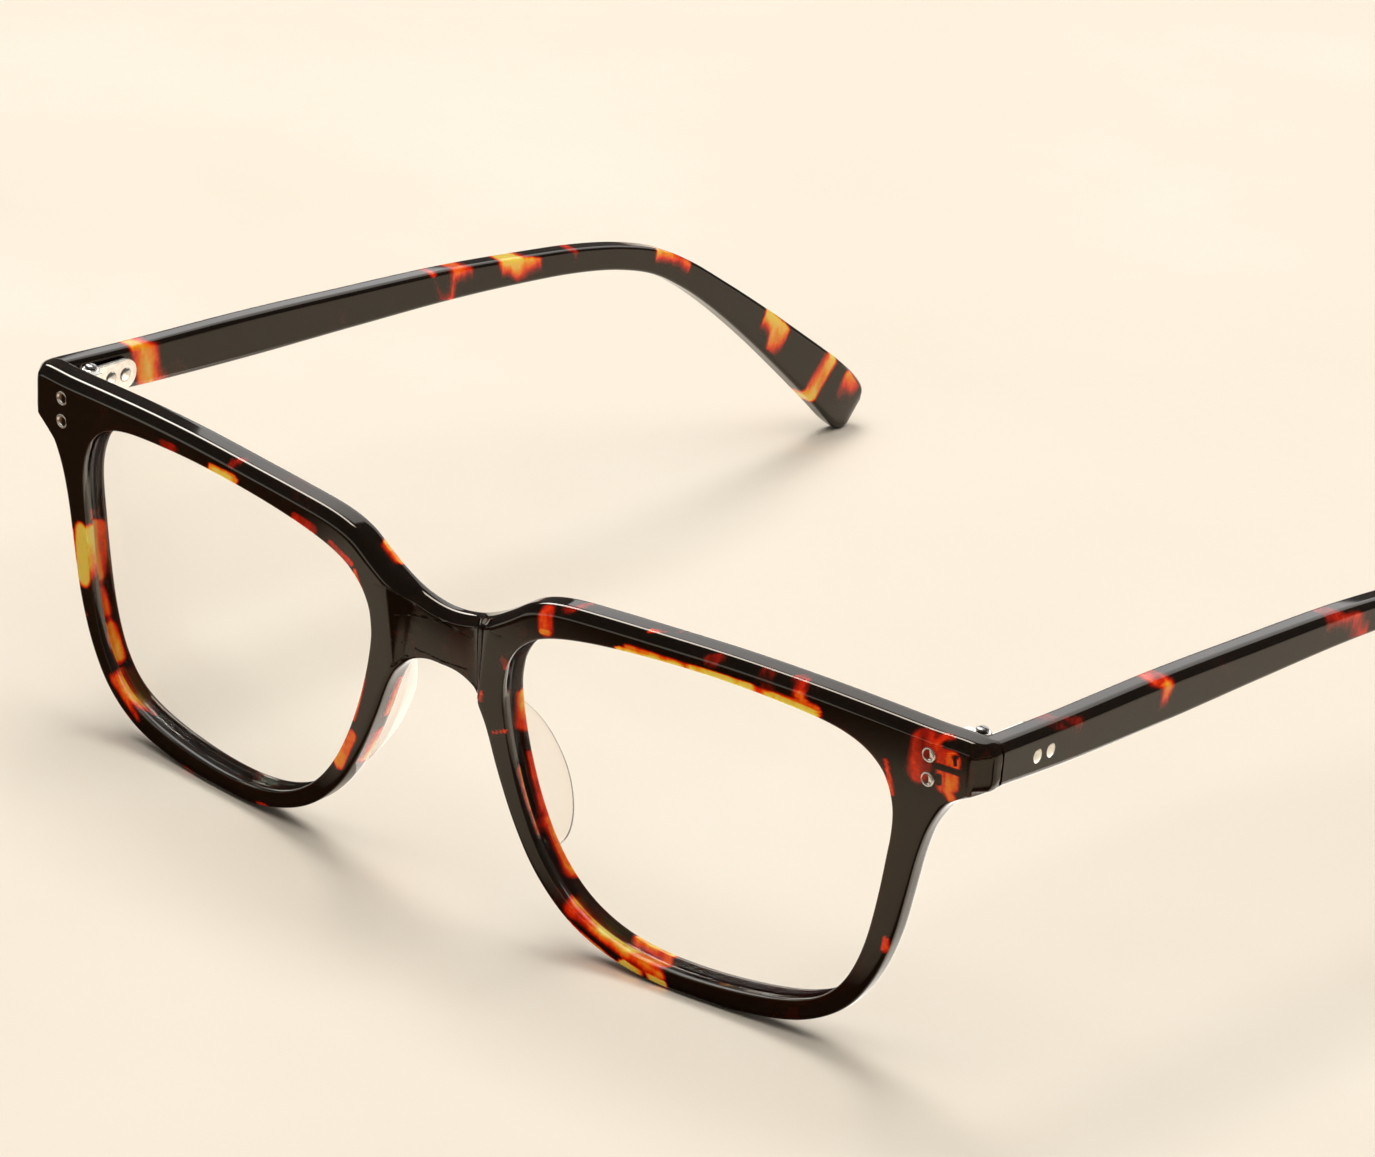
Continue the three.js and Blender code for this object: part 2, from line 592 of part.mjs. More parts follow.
for (const [hand, side] of [["left", 1], ["right", -1]]) {
  add(`lens_${hand}`, buildLens(side), clearLens);
  add(`nose_pad_${hand}`, buildPad(side), clearAcetate);
  add(`front_hinge_leaf_${hand}`, buildFrontLeaf(side), nickel);
  add(`temple_hinge_leaf_${hand}`, buildTempleLeaf(side), nickel);
  add(`hinge_screw_${hand}`, buildScrew(side), steel);
  add(`front_rivet_${hand}_upper`, buildFrontRivet(side, FRONT_RIVET_V[0]), nickel);
  add(`front_rivet_${hand}_lower`, buildFrontRivet(side, FRONT_RIVET_V[1]), nickel);
  add(`temple_rivet_${hand}_front`, buildTempleRivet(side, TEMPLE_RIVET_Y[0]), nickel);
  add(`temple_rivet_${hand}_rear`, buildTempleRivet(side, TEMPLE_RIVET_Y[1]), nickel);
  add(`temple_${hand}`, buildTemple(side), acetate);
  add(`core_wire_${hand}`, buildWire(side), steel);
}

// The pair stands on its lowest points, with the middle of its length and width at the origin.
const extent = new THREE.Box3().setFromObject(pair);
const middle = extent.getCenter(new THREE.Vector3());
pair.position.set(-middle.x, -middle.y, -extent.min.z);

export default pair;
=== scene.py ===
"""Looks of the eyeglasses: a polished tortoiseshell front and temples, clear lenses and pads, riveted hinges.

Shapes are drawn in millimetres in the drawing frame of the part (u across, v up, d back for the front;
x, y, z for the temples), then moved to the row frame. "left" and "right" are the wearer's: left is +X.
"""
import json
import math

import bpy
import bmesh
import numpy as np
from mathutils import Matrix, Vector


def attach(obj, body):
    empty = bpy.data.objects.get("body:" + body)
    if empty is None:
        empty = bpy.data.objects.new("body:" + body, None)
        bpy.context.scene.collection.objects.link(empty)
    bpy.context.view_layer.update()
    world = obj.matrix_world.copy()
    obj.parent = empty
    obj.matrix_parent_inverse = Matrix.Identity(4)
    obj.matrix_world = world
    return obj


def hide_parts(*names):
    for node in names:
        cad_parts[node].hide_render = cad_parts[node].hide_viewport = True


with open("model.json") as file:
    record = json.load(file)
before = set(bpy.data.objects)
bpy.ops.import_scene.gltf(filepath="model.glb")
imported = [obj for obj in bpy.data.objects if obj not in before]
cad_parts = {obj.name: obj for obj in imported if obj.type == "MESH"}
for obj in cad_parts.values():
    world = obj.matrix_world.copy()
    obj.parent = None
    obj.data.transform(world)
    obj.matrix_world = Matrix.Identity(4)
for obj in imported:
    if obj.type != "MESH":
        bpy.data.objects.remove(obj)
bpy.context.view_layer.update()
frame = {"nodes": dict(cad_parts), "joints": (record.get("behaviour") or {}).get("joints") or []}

MM = 0.001

# ---------------- driving dimensions, millimetres
TILT = math.radians(4.2)  # the brow leans forward of the rim bottoms
BOW = 0.00183  # the front curves back with the square of the distance from its middle
BOW_EASE = -6.6e-8
THICKNESS = 3.6
BROW_CHAMFER = 1.0
EDGE_CHAMFER = 0.35
BACK_CHAMFER = 0.3
BACK_CHAMFER_SIDE = 1.6  # the back of the rims is rounded off most at the temples
BACK_CHAMFER_NOSE = 0.25  # the share of that which is left beside the nose
BACK_CHAMFER_END = 0.25  # the share of the back chamfer that is left where the end piece meets the temple
BACK_SLANT = 0.6  # how far the back chamfer runs inward for its depth
LEAST_WALL = 0.3  # the outer wall is never lower than this between its chamfers
SCOOP_DEPTH = 0.75  # how far the face of the bridge is set back at height zero
SCOOP_LEAN = 0.06  # and by how much more for each millimetre up
SCOOP_HALF = 6.2  # half the scoop's width at height zero
SCOOP_TAPER = 0.1
SCOOP_WALL = 0.4  # width of the scoop's sloping sides at height zero
SCOOP_WALL_TAPER = 0.19
SCOOP_SOFTNESS = 0.14
SEAM_Y = 9.8  # where the end pieces stop and the temples begin
SEAM_BOTTOM_V = 9  # the seam is square to the ground from this height of the front up
LIP = 1.2
GROOVE_WIDTH = 1.6
GROOVE_DEPTH = 0.8
GROOVE_SLANT = 0.1
LENS_CENTRE = (35.5, -4.6)
LENS_ENGAGEMENT = 0.5
LENS_EDGE = 1.1
LENS_BULGE = 0.9

HINGE = (66.9, 12.1, 12.4)  # a point on the left hinge's axis
RIVET_RADIUS = 0.9
FRONT_RIVET_U = 65.0
FRONT_RIVET_V = {"upper": 12.8, "lower": 9.9}
TEMPLE_RIVET_Y = {"front": 16.0, "rear": 18.4}
TEMPLE_RIVET_Z = 12.5
TEMPLE_OUTER_X = 71.8
TEMPLE_SPLAY = 0.034

HANDS = {"left": 1, "right": -1}

# The drawing frame's origin in the row frame, from the joint that both share.
LEFT_FOLD = next(j for j in frame["joints"] if j["name"] == "left_temple_fold")
SHIFT = np.array(LEFT_FOLD["pos_m"]) / MM - np.array(HINGE)


# ---------------- lines and sections
def smoothstep(x, low, high):
    t = np.clip((x - low) / (high - low), 0, 1)
    return t * t * (3 - 2 * t)


def catmull(points, steps, closed=False, ghosts=None):
    """Points along a centripetal Catmull-Rom line, steps to each span. An open line needs two ghost ends."""
    p = np.array(points, float)
    line = np.vstack([p[-1:], p, p[:2]]) if closed else np.vstack([ghosts[:1], p, ghosts[1:]])
    out = []
    for a, b, c, d in zip(line, line[1:], line[2:], line[3:]):
        knots = np.cumsum([0] + [np.linalg.norm(q - r) ** 0.5 for q, r in ((a, b), (b, c), (c, d))])
        t0, t1, t2, t3 = knots
        for i in range(steps):
            t = t1 + (t2 - t1) * i / steps
            a1 = (a * (t1 - t) + b * (t - t0)) / (t1 - t0)
            a2 = (b * (t2 - t) + c * (t - t1)) / (t2 - t1)
            a3 = (c * (t3 - t) + d * (t - t2)) / (t3 - t2)
            b1 = (a1 * (t2 - t) + a2 * (t - t0)) / (t2 - t0)
            b2 = (a2 * (t3 - t) + a3 * (t - t1)) / (t3 - t1)
            out.append((b1 * (t2 - t) + b2 * (t - t1)) / (t2 - t1))
    return np.array(out)


def softened(line, reach, closed):
    """The line averaged over its neighbours, which takes the flats and lumps out of a drawn curve."""
    weights = np.exp(-0.5 * (np.arange(-2 * reach, 2 * reach + 1) / reach) ** 2)
    weights /= weights.sum()
    pad = len(weights) // 2
    if closed:
        grown = np.vstack([line[-pad:], line, line[:pad]])
    else:  # both ends are on the mirror plane
        flip = np.array([-1.0, 1.0])
        grown = np.vstack([line[pad:0:-1] * flip, line, line[-2:-pad - 2:-1] * flip])
    return np.stack([np.convolve(grown[:, k], weights, "valid") for k in (0, 1)], 1)


def bow(u):
    return BOW * u**2 + BOW_EASE * u**4


def soft_positive(x):
    """x where it is positive and 0 where it isn't, with a rounded corner between."""
    return SCOOP_SOFTNESS * np.logaddexp(0, x / SCOOP_SOFTNESS)


def scoop_travel(u, v):
    """0 at the outer edge of the bridge's scoop and 1 at the foot of its wall."""
    height = np.maximum(v, 0)
    return (SCOOP_HALF + SCOOP_TAPER * height - np.abs(u)) / (SCOOP_WALL + SCOOP_WALL_TAPER * height)


def face_depth(u, v):
    travel = scoop_travel(u, v)
    return bow(u) + (SCOOP_DEPTH + SCOOP_LEAN * v) * (soft_positive(travel) - soft_positive(travel - 1))


def back_depth(u, v):
    seam = (SEAM_Y + np.maximum(v, SEAM_BOTTOM_V) * math.sin(TILT)) / math.cos(TILT)
    return np.minimum(bow(u) + THICKNESS, seam)


def place(u, d, v):
    """A point of the flat drawing of the front, bowed and tilted into the drawing frame."""
    u, d, v = np.broadcast_arrays(u, d, v)
    return np.stack([u, d * math.cos(TILT) - v * math.sin(TILT), v * math.cos(TILT) + d * math.sin(TILT)], -1)


def unplace(p):
    """The (u, d, v) that place() put at p."""
    return np.stack([
        p[:, 0],
        p[:, 1] * math.cos(TILT) + p[:, 2] * math.sin(TILT),
        p[:, 2] * math.cos(TILT) - p[:, 1] * math.sin(TILT),
    ], -1)


def outer_x(y):
    return TEMPLE_OUTER_X - TEMPLE_SPLAY * (y - SEAM_Y)


# ---------------- meshes
def new_object(name, vertices, faces):
    """A mesh object drawn in millimetres, with its faces turned outward."""
    mesh = bpy.data.meshes.new(name)
    mesh.from_pydata([tuple(v) for v in vertices], [], faces)
    made = bmesh.new()
    made.from_mesh(mesh)
    bmesh.ops.remove_doubles(made, verts=made.verts, dist=1e-4)
    bmesh.ops.recalc_face_normals(made, faces=made.faces)
    made.to_mesh(mesh)
    made.free()
    mesh.shade_smooth()
    obj = bpy.data.objects.new(name, mesh)
    bpy.context.scene.collection.objects.link(obj)
    return obj


def rounded(obj, width, angle=22, segments=3):
    """Rounds the edges that are sharper than angle."""
    bevel = obj.modifiers.new("edges", "BEVEL")
    bevel.width = width
    bevel.segments = segments
    bevel.limit_method = "ANGLE"
    bevel.angle_limit = math.radians(angle)
    bevel.harden_normals = True
    return obj


def evened(obj):
    """Lets the large faces set the shading, so that flats look flat beside their rounded edges."""
    obj.modifiers.new("flats", "WEIGHTED_NORMAL")
    return obj


def settled(obj, material, body, slot, *nodes):
    """Applies the modifiers, moves the piece to the row frame in metres, and hands it to the frame."""
    evaluated = obj.evaluated_get(bpy.context.evaluated_depsgraph_get())
    mesh = bpy.data.meshes.new_from_object(evaluated)
    obj.modifiers.clear()
    obj.data = mesh
    mesh.transform(Matrix.Scale(MM, 4) @ Matrix.Translation(Vector(SHIFT)))
    mesh.materials.clear()
    mesh.materials.append(material)
    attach(obj, body)
    if nodes:
        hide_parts(*nodes)
    return obj


def loft_faces(rings, around, closed_ring=True, capped=True):
    faces = []
    last = around if closed_ring else around - 1
    for r in range(rings - 1):
        for i in range(last):
            j = (i + 1) % around
            faces.append((r * around + i, r * around + j, (r + 1) * around + j, (r + 1) * around + i))
    if capped:
        faces.append(tuple(range(around)))
        faces.append(tuple((rings - 1) * around + i for i in range(around)))
    return faces


def loft(name, rings):
    rings = np.array(rings)
    return new_object(name, rings.reshape(-1, 3), loft_faces(len(rings), rings.shape[1]))


def turned(name, start, direction, profile, segments=40):
    """A solid of revolution: profile lists (radius, distance along the axis), from one end to the other."""
    axis = Vector(direction).normalized()
    across = axis.orthogonal().normalized()
    other = axis.cross(across)
    rings = []
    for radius, along in profile:
        turns = [2 * math.pi * i / segments for i in range(segments)]
        centre = Vector(start) + axis * along
        rings.append([centre + (across * math.cos(a) + other * math.sin(a)) * radius for a in turns])
    return loft(name, rings)


# ---------------- the front's outlines
# Each point of the lens opening faces one of the outer edge: over the brow, round the end piece, down and
# round the rim, and up to the bottom of the bridge. The last opening points face the bridge's middle.
OPENING = [
    (10.35, 6.5), (11.2, 8.2), (12.2, 9.4), (13.8, 10.7), (16, 11.7), (19.5, 12.6), (25, 13.4), (32, 13.9),
    (40, 14), (48.2, 13.5), (53.5, 12.8), (57.2, 11.4), (59.4, 9.4), (60, 8.3), (60.5, 7), (60.9, 5.2),
    (60.95, 3.4), (60.8, 1.4), (60.5, -0.6), (60.1, -3.4), (59.3, -8), (58.2, -12.6), (56.2, -17.2),
    (53.2, -20.3), (48.8, -22), (42.5, -23), (34.6, -23.4), (27, -22.7), (20.8, -20.1), (16.4, -15.8),
    (13.6, -10.8), (11.8, -6), (10.6, -1.5), (10.1, 1.5), (9.95, 3), (9.95, 4), (10.1, 5.2),
]
EDGE = [
    (0, 9.3), (4, 9.9), (7.3, 11.3), (10, 12.9), (12.8, 14.7), (16.4, 15.75), (23, 16.3), (31, 16.6),
    (40, 16.75), (49, 16.5), (57, 16), (64.5, 15.4), (70.6, 14.95), (71.6, 13.95), (71.7, 12), (71.45, 9.75),
    (69.9, 8.95), (67.4, 7.5), (65.4, 4.2), (64.1, 0.2), (63, -5), (61.6, -11), (59.3, -16.6), (56, -21),
    (51, -24), (44, -25.4), (35.5, -25.8), (27.5, -25), (20.3, -22.2), (15.2, -17.7), (11.9, -12.6),
    (9.2, -6.7), (7.1, -1.3), (5.3, 1.3), (2.8, 2.5), (0, 2.7),
]
SPAN_STEPS = 12
OPENING_SOFTENING = 4
EDGE_SOFTENING = 2
TOP_REACH = 0.45  # how far each edge's rounding runs from the edge
FACE_REACH = 0.45
BACK_REACH = 0.5
MOUTH_REACH = 0.22
BROW_STATIONS = 12 * SPAN_STEPS  # the brow ends at this station
CORNER_STATIONS = 15 * SPAN_STEPS  # and the end piece's side at this one
EDGE_STATIONS = (len(EDGE) - 1) * SPAN_STEPS
CORNER_U = 60  # the brow's chamfer runs on round the corner of the end piece, outside this
CORNER_V = (12.5, 13.8)  # and fades between these heights
SIDE_START = 71.45
SIDE_U = (69.8, 71)  # where the chamfer of the end piece's side takes over
SIDE_CHAMFER = 1.5
SIDE_CHAMFER_DEPTH = 1.9
BACK_CHAMFER_U = (20, 52)  # where the back chamfer grows on the way out from the nose
BACK_CHAMFER_V = (3.5, 8.5)  # and where it fades on the way up to the end piece
ACROSS = 36  # points over the face, over the back and round a corner
BACK_STEPS = 8
CORNER_STEPS = 6
MOST_REACH = 0.45  # a corner's rounding takes no more than this share of each side
FINE_STEPS = 240
WALL_CROWDING = 7  # the face points are this much denser on the scoop's wall, and a margin beside it
WALL_MARGIN = 0.3


def outlines():
    """The opening and the outer edge as equally long lists of stations, once round the lens."""
    opening = softened(catmull(OPENING, SPAN_STEPS, closed=True), OPENING_SOFTENING, True)
    ghosts = np.array([[-EDGE[1][0], EDGE[1][1]], [-EDGE[-2][0], EDGE[-2][1]]], float)
    edge = np.vstack([catmull(EDGE, SPAN_STEPS, ghosts=ghosts), [EDGE[-1]]])
    edge = softened(edge, EDGE_SOFTENING, False)
    edge[0, 0] = edge[-1, 0] = 0
    up = np.linspace(edge[-1], edge[0], len(opening) - len(edge) + 2)[1:-1]
    return opening, np.vstack([edge, up])


def normals(line):
    step = np.roll(line, -1, 0) - np.roll(line, 1, 0)
    out = np.stack([-step[:, 1], step[:, 0]], 1)
    return out / np.linalg.norm(out, axis=1)[:, None]


def soft_corner(before, corner, after, reach):
    """Points round a corner, from reach before it to reach after it. Inputs are points or rows of them."""
    def beside(p):
        gap = p - corner
        length = np.linalg.norm(gap, axis=-1, keepdims=True)
        return corner + gap * np.minimum(reach / np.maximum(length, 1e-9), MOST_REACH)
    a, b = beside(before), beside(after)
    return [(1 - t)**2 * a + 2 * t * (1 - t) * corner + t**2 * b for t in np.linspace(0, 1, CORNER_STEPS)]


def face_steps(mouth, corner):
    """How far from the mouth to the corner each face point is: they crowd together on the scoop's wall."""
    fine = np.linspace(0, 1, FINE_STEPS)
    p = mouth[:, None] + (corner - mouth)[:, None] * fine[:, None]
    travel = scoop_travel(p[..., 0], p[..., 1])
    on_wall = (travel > -WALL_MARGIN) & (travel < 1 + WALL_MARGIN)
    crowding = np.cumsum(1 + WALL_CROWDING * on_wall, axis=1)
    share = (crowding - crowding[:, :1]) / (crowding[:, -1:] - crowding[:, :1])
    return np.stack([np.interp(np.linspace(0, 1, ACROSS), row, fine) for row in share])


def front_rings(side):
    """One section of the rim at each station: face, outer wall, back and lens groove."""
    opening, edge = outlines()
    n = len(opening)
    count = np.arange(n)
    seam = count > EDGE_STATIONS  # stations up the bridge's middle, where the two halves meet
    corner = smoothstep(edge[:, 1], *CORNER_V) * (edge[:, 0] > CORNER_U)
    brow = np.where(count <= BROW_STATIONS, 1.0, np.where(count <= CORNER_STATIONS, corner, 0.0))
    inset = EDGE_CHAMFER + (BROW_CHAMFER - EDGE_CHAMFER) * brow
    out = normals(edge)
    out[0], out[EDGE_STATIONS] = (0, 1), (0, -1)
    face = edge - out * inset[:, None]
    low, high = face[EDGE_STATIONS, 1], face[0, 1]
    rise = (count - EDGE_STATIONS) / (n - EDGE_STATIONS)
    face[seam] = np.stack([0 * rise, low + (high - low) * rise], 1)[seam]
    on_side = smoothstep(edge[:, 0], *SIDE_U)
    face[:, 0] = np.minimum(face[:, 0], SIDE_START - SIDE_CHAMFER)
    depth = inset + (SIDE_CHAMFER_DEPTH - inset) * on_side
    below = (1 - smoothstep(edge[:, 1], *BACK_CHAMFER_V)) * (count > CORNER_STATIONS)
    aside = BACK_CHAMFER_NOSE + (1 - BACK_CHAMFER_NOSE) * smoothstep(edge[:, 0], *BACK_CHAMFER_U)
    back_chamfer = BACK_CHAMFER + (BACK_CHAMFER_SIDE - BACK_CHAMFER) * below * aside
    back_chamfer = back_chamfer * (1 - (1 - BACK_CHAMFER_END) * on_side)
    back = edge - out * BACK_SLANT * back_chamfer[:, None]
    back[seam] = face[seam]
    groove = opening + normals(opening) * GROOVE_DEPTH

    def at(p, d):
        return np.stack([p[:, 0], np.broadcast_to(d, len(p)), p[:, 1]], 1)

    def on_face(p):
        return at(p, face_depth(p[:, 0], p[:, 1]))

    def on_back(p):
        return at(p, back_depth(p[:, 0], p[:, 1]))

    def inside(p):
        step = opening - p
        step[0], step[EDGE_STATIONS] = -out[0], -out[EDGE_STATIONS]
        return p + step / np.linalg.norm(step, axis=1)[:, None]

    wall_back = on_back(edge)[:, 1] - back_chamfer
    wall_front = np.minimum(on_face(edge)[:, 1] + depth, wall_back - LEAST_WALL)
    front_edge, back_edge = at(edge, wall_front), at(edge, wall_back)
    lip = bow(opening[:, 0]) + LIP
    front_mouth, back_mouth = on_face(opening), on_back(opening)
    front_groove, back_groove = at(opening, lip), at(opening, lip + GROOVE_WIDTH)
    apart = np.where(seam, 0.0, 1.0)[:, None]

    mouth_round = soft_corner(front_groove, front_mouth, on_face(face), MOUTH_REACH)
    face_round = soft_corner(on_face(inside(face)), on_face(face), front_edge, FACE_REACH * apart)
    top_round = soft_corner(on_face(face), front_edge, back_edge, TOP_REACH * apart)
    back_round = soft_corner(front_edge, back_edge, on_back(back), BACK_REACH * apart)
    rear_round = soft_corner(back_edge, on_back(back), on_back(inside(back)), BACK_REACH * apart)
    rear_mouth = soft_corner(on_back(face), back_mouth, back_groove, MOUTH_REACH)

    first, last = mouth_round[-1][:, [0, 2]], face_round[0][:, [0, 2]]
    steps = face_steps(first, last)
    points = mouth_round[:-1]
    points += [on_face(first + (last - first) * steps[:, [k]]) for k in range(ACROSS - 1)]
    corner_start = len(points)
    points += face_round + top_round + back_round + rear_round
    corner_end = len(points) - 1
    first, last = rear_round[-1][:, [0, 2]], rear_mouth[0][:, [0, 2]]
    points += [on_back(first + (last - first) * t) for t in np.linspace(0, 1, BACK_STEPS)[1:-1]]
    points += rear_mouth + [back_groove, at(groove, lip + GROOVE_WIDTH - GROOVE_SLANT)]
    points += [at(groove, lip + GROOVE_SLANT), front_groove]
    rings = np.stack(points, 1)
    rings = place(side * rings[..., 0], rings[..., 1], rings[..., 2])
    return rings, seam | (count == EDGE_STATIONS), range(corner_start, corner_end)


def build_front():
    """Both halves of the front as one skin, joined up the bridge's middle."""
    vertices, faces = [], []
    for side in HANDS.values():
        rings, at_middle, corners = front_rings(side)
        n, around = rings.shape[:2]
        base = sum(len(v) for v in vertices)
        vertices.append(rings.reshape(-1, 3))
        for i in range(n):
            k = (i + 1) % n
            for j in range(around):
                if at_middle[i] and j in corners:
                    continue  # the two halves are one solid at the bridge's middle
                m = (j + 1) % around
                here, there = base + i * around, base + k * around
                faces.append((here + j, here + m, there + m, there + j))
    return evened(new_object("front_acetate", np.vstack(vertices), faces))


# ---------------- lens and pad
LENS_STRIDE = 3  # every third station of the opening is enough for the lens
LENS_MIDDLE = 0.04  # the smallest ring's share of the lens
LENS_RINGS = 14


def build_lens(hand):
    """A curved shell that sits in the rim's groove."""
    side = HANDS[hand]
    opening, _ = outlines()
    rim = (opening + normals(opening) * LENS_ENGAGEMENT)[::LENS_STRIDE]
    centre = np.array(LENS_CENTRE)
    rings = []
    edge_front = LIP + (GROOVE_WIDTH - LENS_EDGE) / 2
    reaches = np.linspace(LENS_MIDDLE, 1, LENS_RINGS)
    for behind, order in ((0, reaches), (LENS_EDGE, reaches[::-1])):
        for reach in order:
            p = centre + (rim - centre) * reach
            depth = bow(p[:, 0]) + edge_front - LENS_BULGE * (1 - reach**2) + behind
            rings.append(place(side * p[:, 0], depth, p[:, 1]))
    return loft("clear_lens_" + hand, rings)


PAD_TOP = 0.8
PAD_BOTTOM = -15.5
PAD_REACH = 5.0
PAD_HALF_WIDTH = 1.5
PAD_FLARE = 0.15
PAD_INSET = 1.3
PAD_GAP = 0.3
PAD_SKEW = 0.8  # below 1, the pad is deepest below its middle
PAD_FULLNESS = 0.6  # the lower, the blunter the ends
PAD_RINGS = 40
PAD_ROUND = 25
PAD_END = 0.06  # radians by which the first and last rings stop short of the ends
PAD_RIDGE = (0.86, 0.97)  # shares of the fin's reach between which the painted outline darkens
PAD_RIDGE_START = math.pi / 2 - 0.1  # the outline is on the side of the temple
PAD_PAINTED_OUTLINE = {"left": 1.0, "right": 0.12}  # how dark the painted shade along the ridge of each fin is: a painted dark outline


def build_pad(hand):
    """A clear rounded fin on the back of the rim, deepest below its middle."""
    side = HANDS[hand]
    nasal = catmull(EDGE[-9:-1], 8, ghosts=np.array([EDGE[-10], EDGE[-1]], float))
    rings = []
    angle = np.linspace(0, math.pi, PAD_ROUND)
    for along in 0.5 - 0.5 * np.cos(np.linspace(PAD_END, math.pi - PAD_END, PAD_RINGS)):
        v = PAD_BOTTOM + (PAD_TOP - PAD_BOTTOM) * along
        full = math.sin(math.pi * along**PAD_SKEW) ** PAD_FULLNESS
        middle = np.interp(v, nasal[:, 1], nasal[:, 0]) + PAD_INSET
        rise = PAD_REACH * full * np.sin(angle)
        u = middle - PAD_HALF_WIDTH * full**PAD_FULLNESS * np.cos(angle) + PAD_FLARE * rise
        rings.append(place(side * u, back_depth(middle, v) + PAD_GAP + rise, v))
    made = loft("clear_pad_" + hand, rings)
    # painted shade: a dark outline along the ridge of the fin, stored on the mesh for the pad's material
    ridge = smoothstep(np.sin(angle), *PAD_RIDGE) * (angle > PAD_RIDGE_START)
    layer = made.data.attributes.new("ridge", "FLOAT", "POINT")
    layer.data.foreach_set("value", np.tile(PAD_PAINTED_OUTLINE[hand] * ridge, len(rings)).astype(np.float32))
    return made


# ---------------- temples
# Centre line y and z, height and thickness, from the hinge to the tip.
TEMPLE_ROWS = [
    (9.9, 13.05, 5.1, 3.2), (22, 12.5, 5.4, 3.2), (40, 12.15, 5.5, 3.2), (58, 11.75, 4.9, 3.1),
    (75, 11.25, 4.2, 3.0), (88, 10.4, 3.6, 2.9), (98, 9.5, 3.3, 2.9), (106, 8.2, 3.2, 2.9),
    (113, 6.2, 3.3, 2.9), (119, 3.2, 3.5, 2.9), (125, -0.6, 3.8, 2.9), (133, -6.2, 4.7, 2.9),
    (141, -12.2, 5.8, 2.9), (149.2, -18.6, 7.0, 2.8), (152.2, -21.2, 7.2, 2.6), (154.2, -22.95, 6.6, 2.1),
    (155.1, -23.7, 5.0, 1.4),
]
TEMPLE_STEPS = 9
OUTER_CHAMFER = 0.9
INNER_CHAMFER = 0.45
FULL_HEIGHT = 5  # where the temple is lower than this, its chamfers shrink with it
EDGE_REACH = 0.3  # how far the roundings run from the long edges
TOP_EDGE_REACH = 0.45  # and from the top outer one
END_ROUNDING = 0.12
TIP_START_Y = 141
TIP_THICKNESS = 2.9


def temple_rows():
    rows = np.array(TEMPLE_ROWS)
    ghosts = np.array([2 * rows[0] - rows[1], 2 * rows[-1] - rows[-2]])
    return np.vstack([catmull(rows, TEMPLE_STEPS, ghosts=ghosts), rows[-1:]])


def build_temple(hand):
    """A temple lofted along its line, with its long edges and ends rounded."""
    side = HANDS[hand]
    rows = temple_rows()
    step = np.gradient(rows[:, :2], axis=0)
    along = step / np.linalg.norm(step, axis=1)[:, None]
    along[0] = (1, 0)  # the front end is cut square to meet the end piece
    rings = []
    for (y, z, height, thick), (ay, az) in zip(rows, along):
        inset = (TIP_THICKNESS - thick) / 2 if y > TIP_START_Y else 0
        out = outer_x(y) - inset
        inn = out - thick
        top, low = height / 2, -height / 2
        shrink = min(1, height / FULL_HEIGHT)
        c, e = OUTER_CHAMFER * shrink, INNER_CHAMFER * shrink
        section = np.array([(inn + e, low), (out - e, low), (out, low + e), (out, top - c),
                            (out - c, top), (inn + e, top), (inn, top - e), (inn, low + e)])
        reaches = shrink * np.array([EDGE_REACH] * 4 + [TOP_EDGE_REACH] + [EDGE_REACH] * 3)
        corners = zip(np.roll(section, 1, 0), section, np.roll(section, -1, 0), reaches)
        soft = [point for corner in corners for point in soft_corner(*corner)]
        rings.append([(side * x, y - az * rise, z + ay * rise) for x, rise in soft])
    return evened(rounded(loft("temple_acetate_" + hand, rings), END_ROUNDING, angle=40))


# ---------------- hinges and rivets
LEAF_GAP = 0.3
LEAF_THICKNESS = 0.7
TEMPLE_LEAF_Y = (13.4, 18.4)
LEAF_HALF_HEIGHT = 1.9
TEMPLE_LEAF_X = outer_x(TEMPLE_LEAF_Y[1] + LEAF_HALF_HEIGHT) - TEMPLE_ROWS[0][3] - LEAF_GAP - LEAF_THICKNESS
BARREL_RADIUS = 1.1
BARREL_BORE = 0.55
HINGE_BOTTOM_Z = 9.8
KNUCKLE = 0.9
KNUCKLE_GAP = 0.15
KNUCKLES = 5
KNUCKLE_EDGE = 0.12
FRONT_LEAF_U = (62.6, 66.4)
FRONT_LEAF_V = (8.9, 14.6)
ARM_REACH = 1.9  # from the hinge's axis in to the end of a front knuckle's arm
TEMPLE_ARM_OVERLAP = 0.5  # how far a temple knuckle's arm runs on under its strap
ARM_START = 0.7  # the arms start inside the barrels, this far from the axis
FRONT_ARM_START = 0.75
METAL_EDGE = 0.1
SCREW_SHAFT = 0.48
SCREW_HEAD = 0.72
SCREW_HEAD_HEIGHT = 0.38
SLOT_HALF_WIDTH = 0.15
SLOT_DEPTH = 0.25
RIVET_HEAD = 0.25  # how far the rivets stand out over the leaves


def knuckle_bottom(k):
    return HINGE_BOTTOM_Z + k * (KNUCKLE + KNUCKLE_GAP)


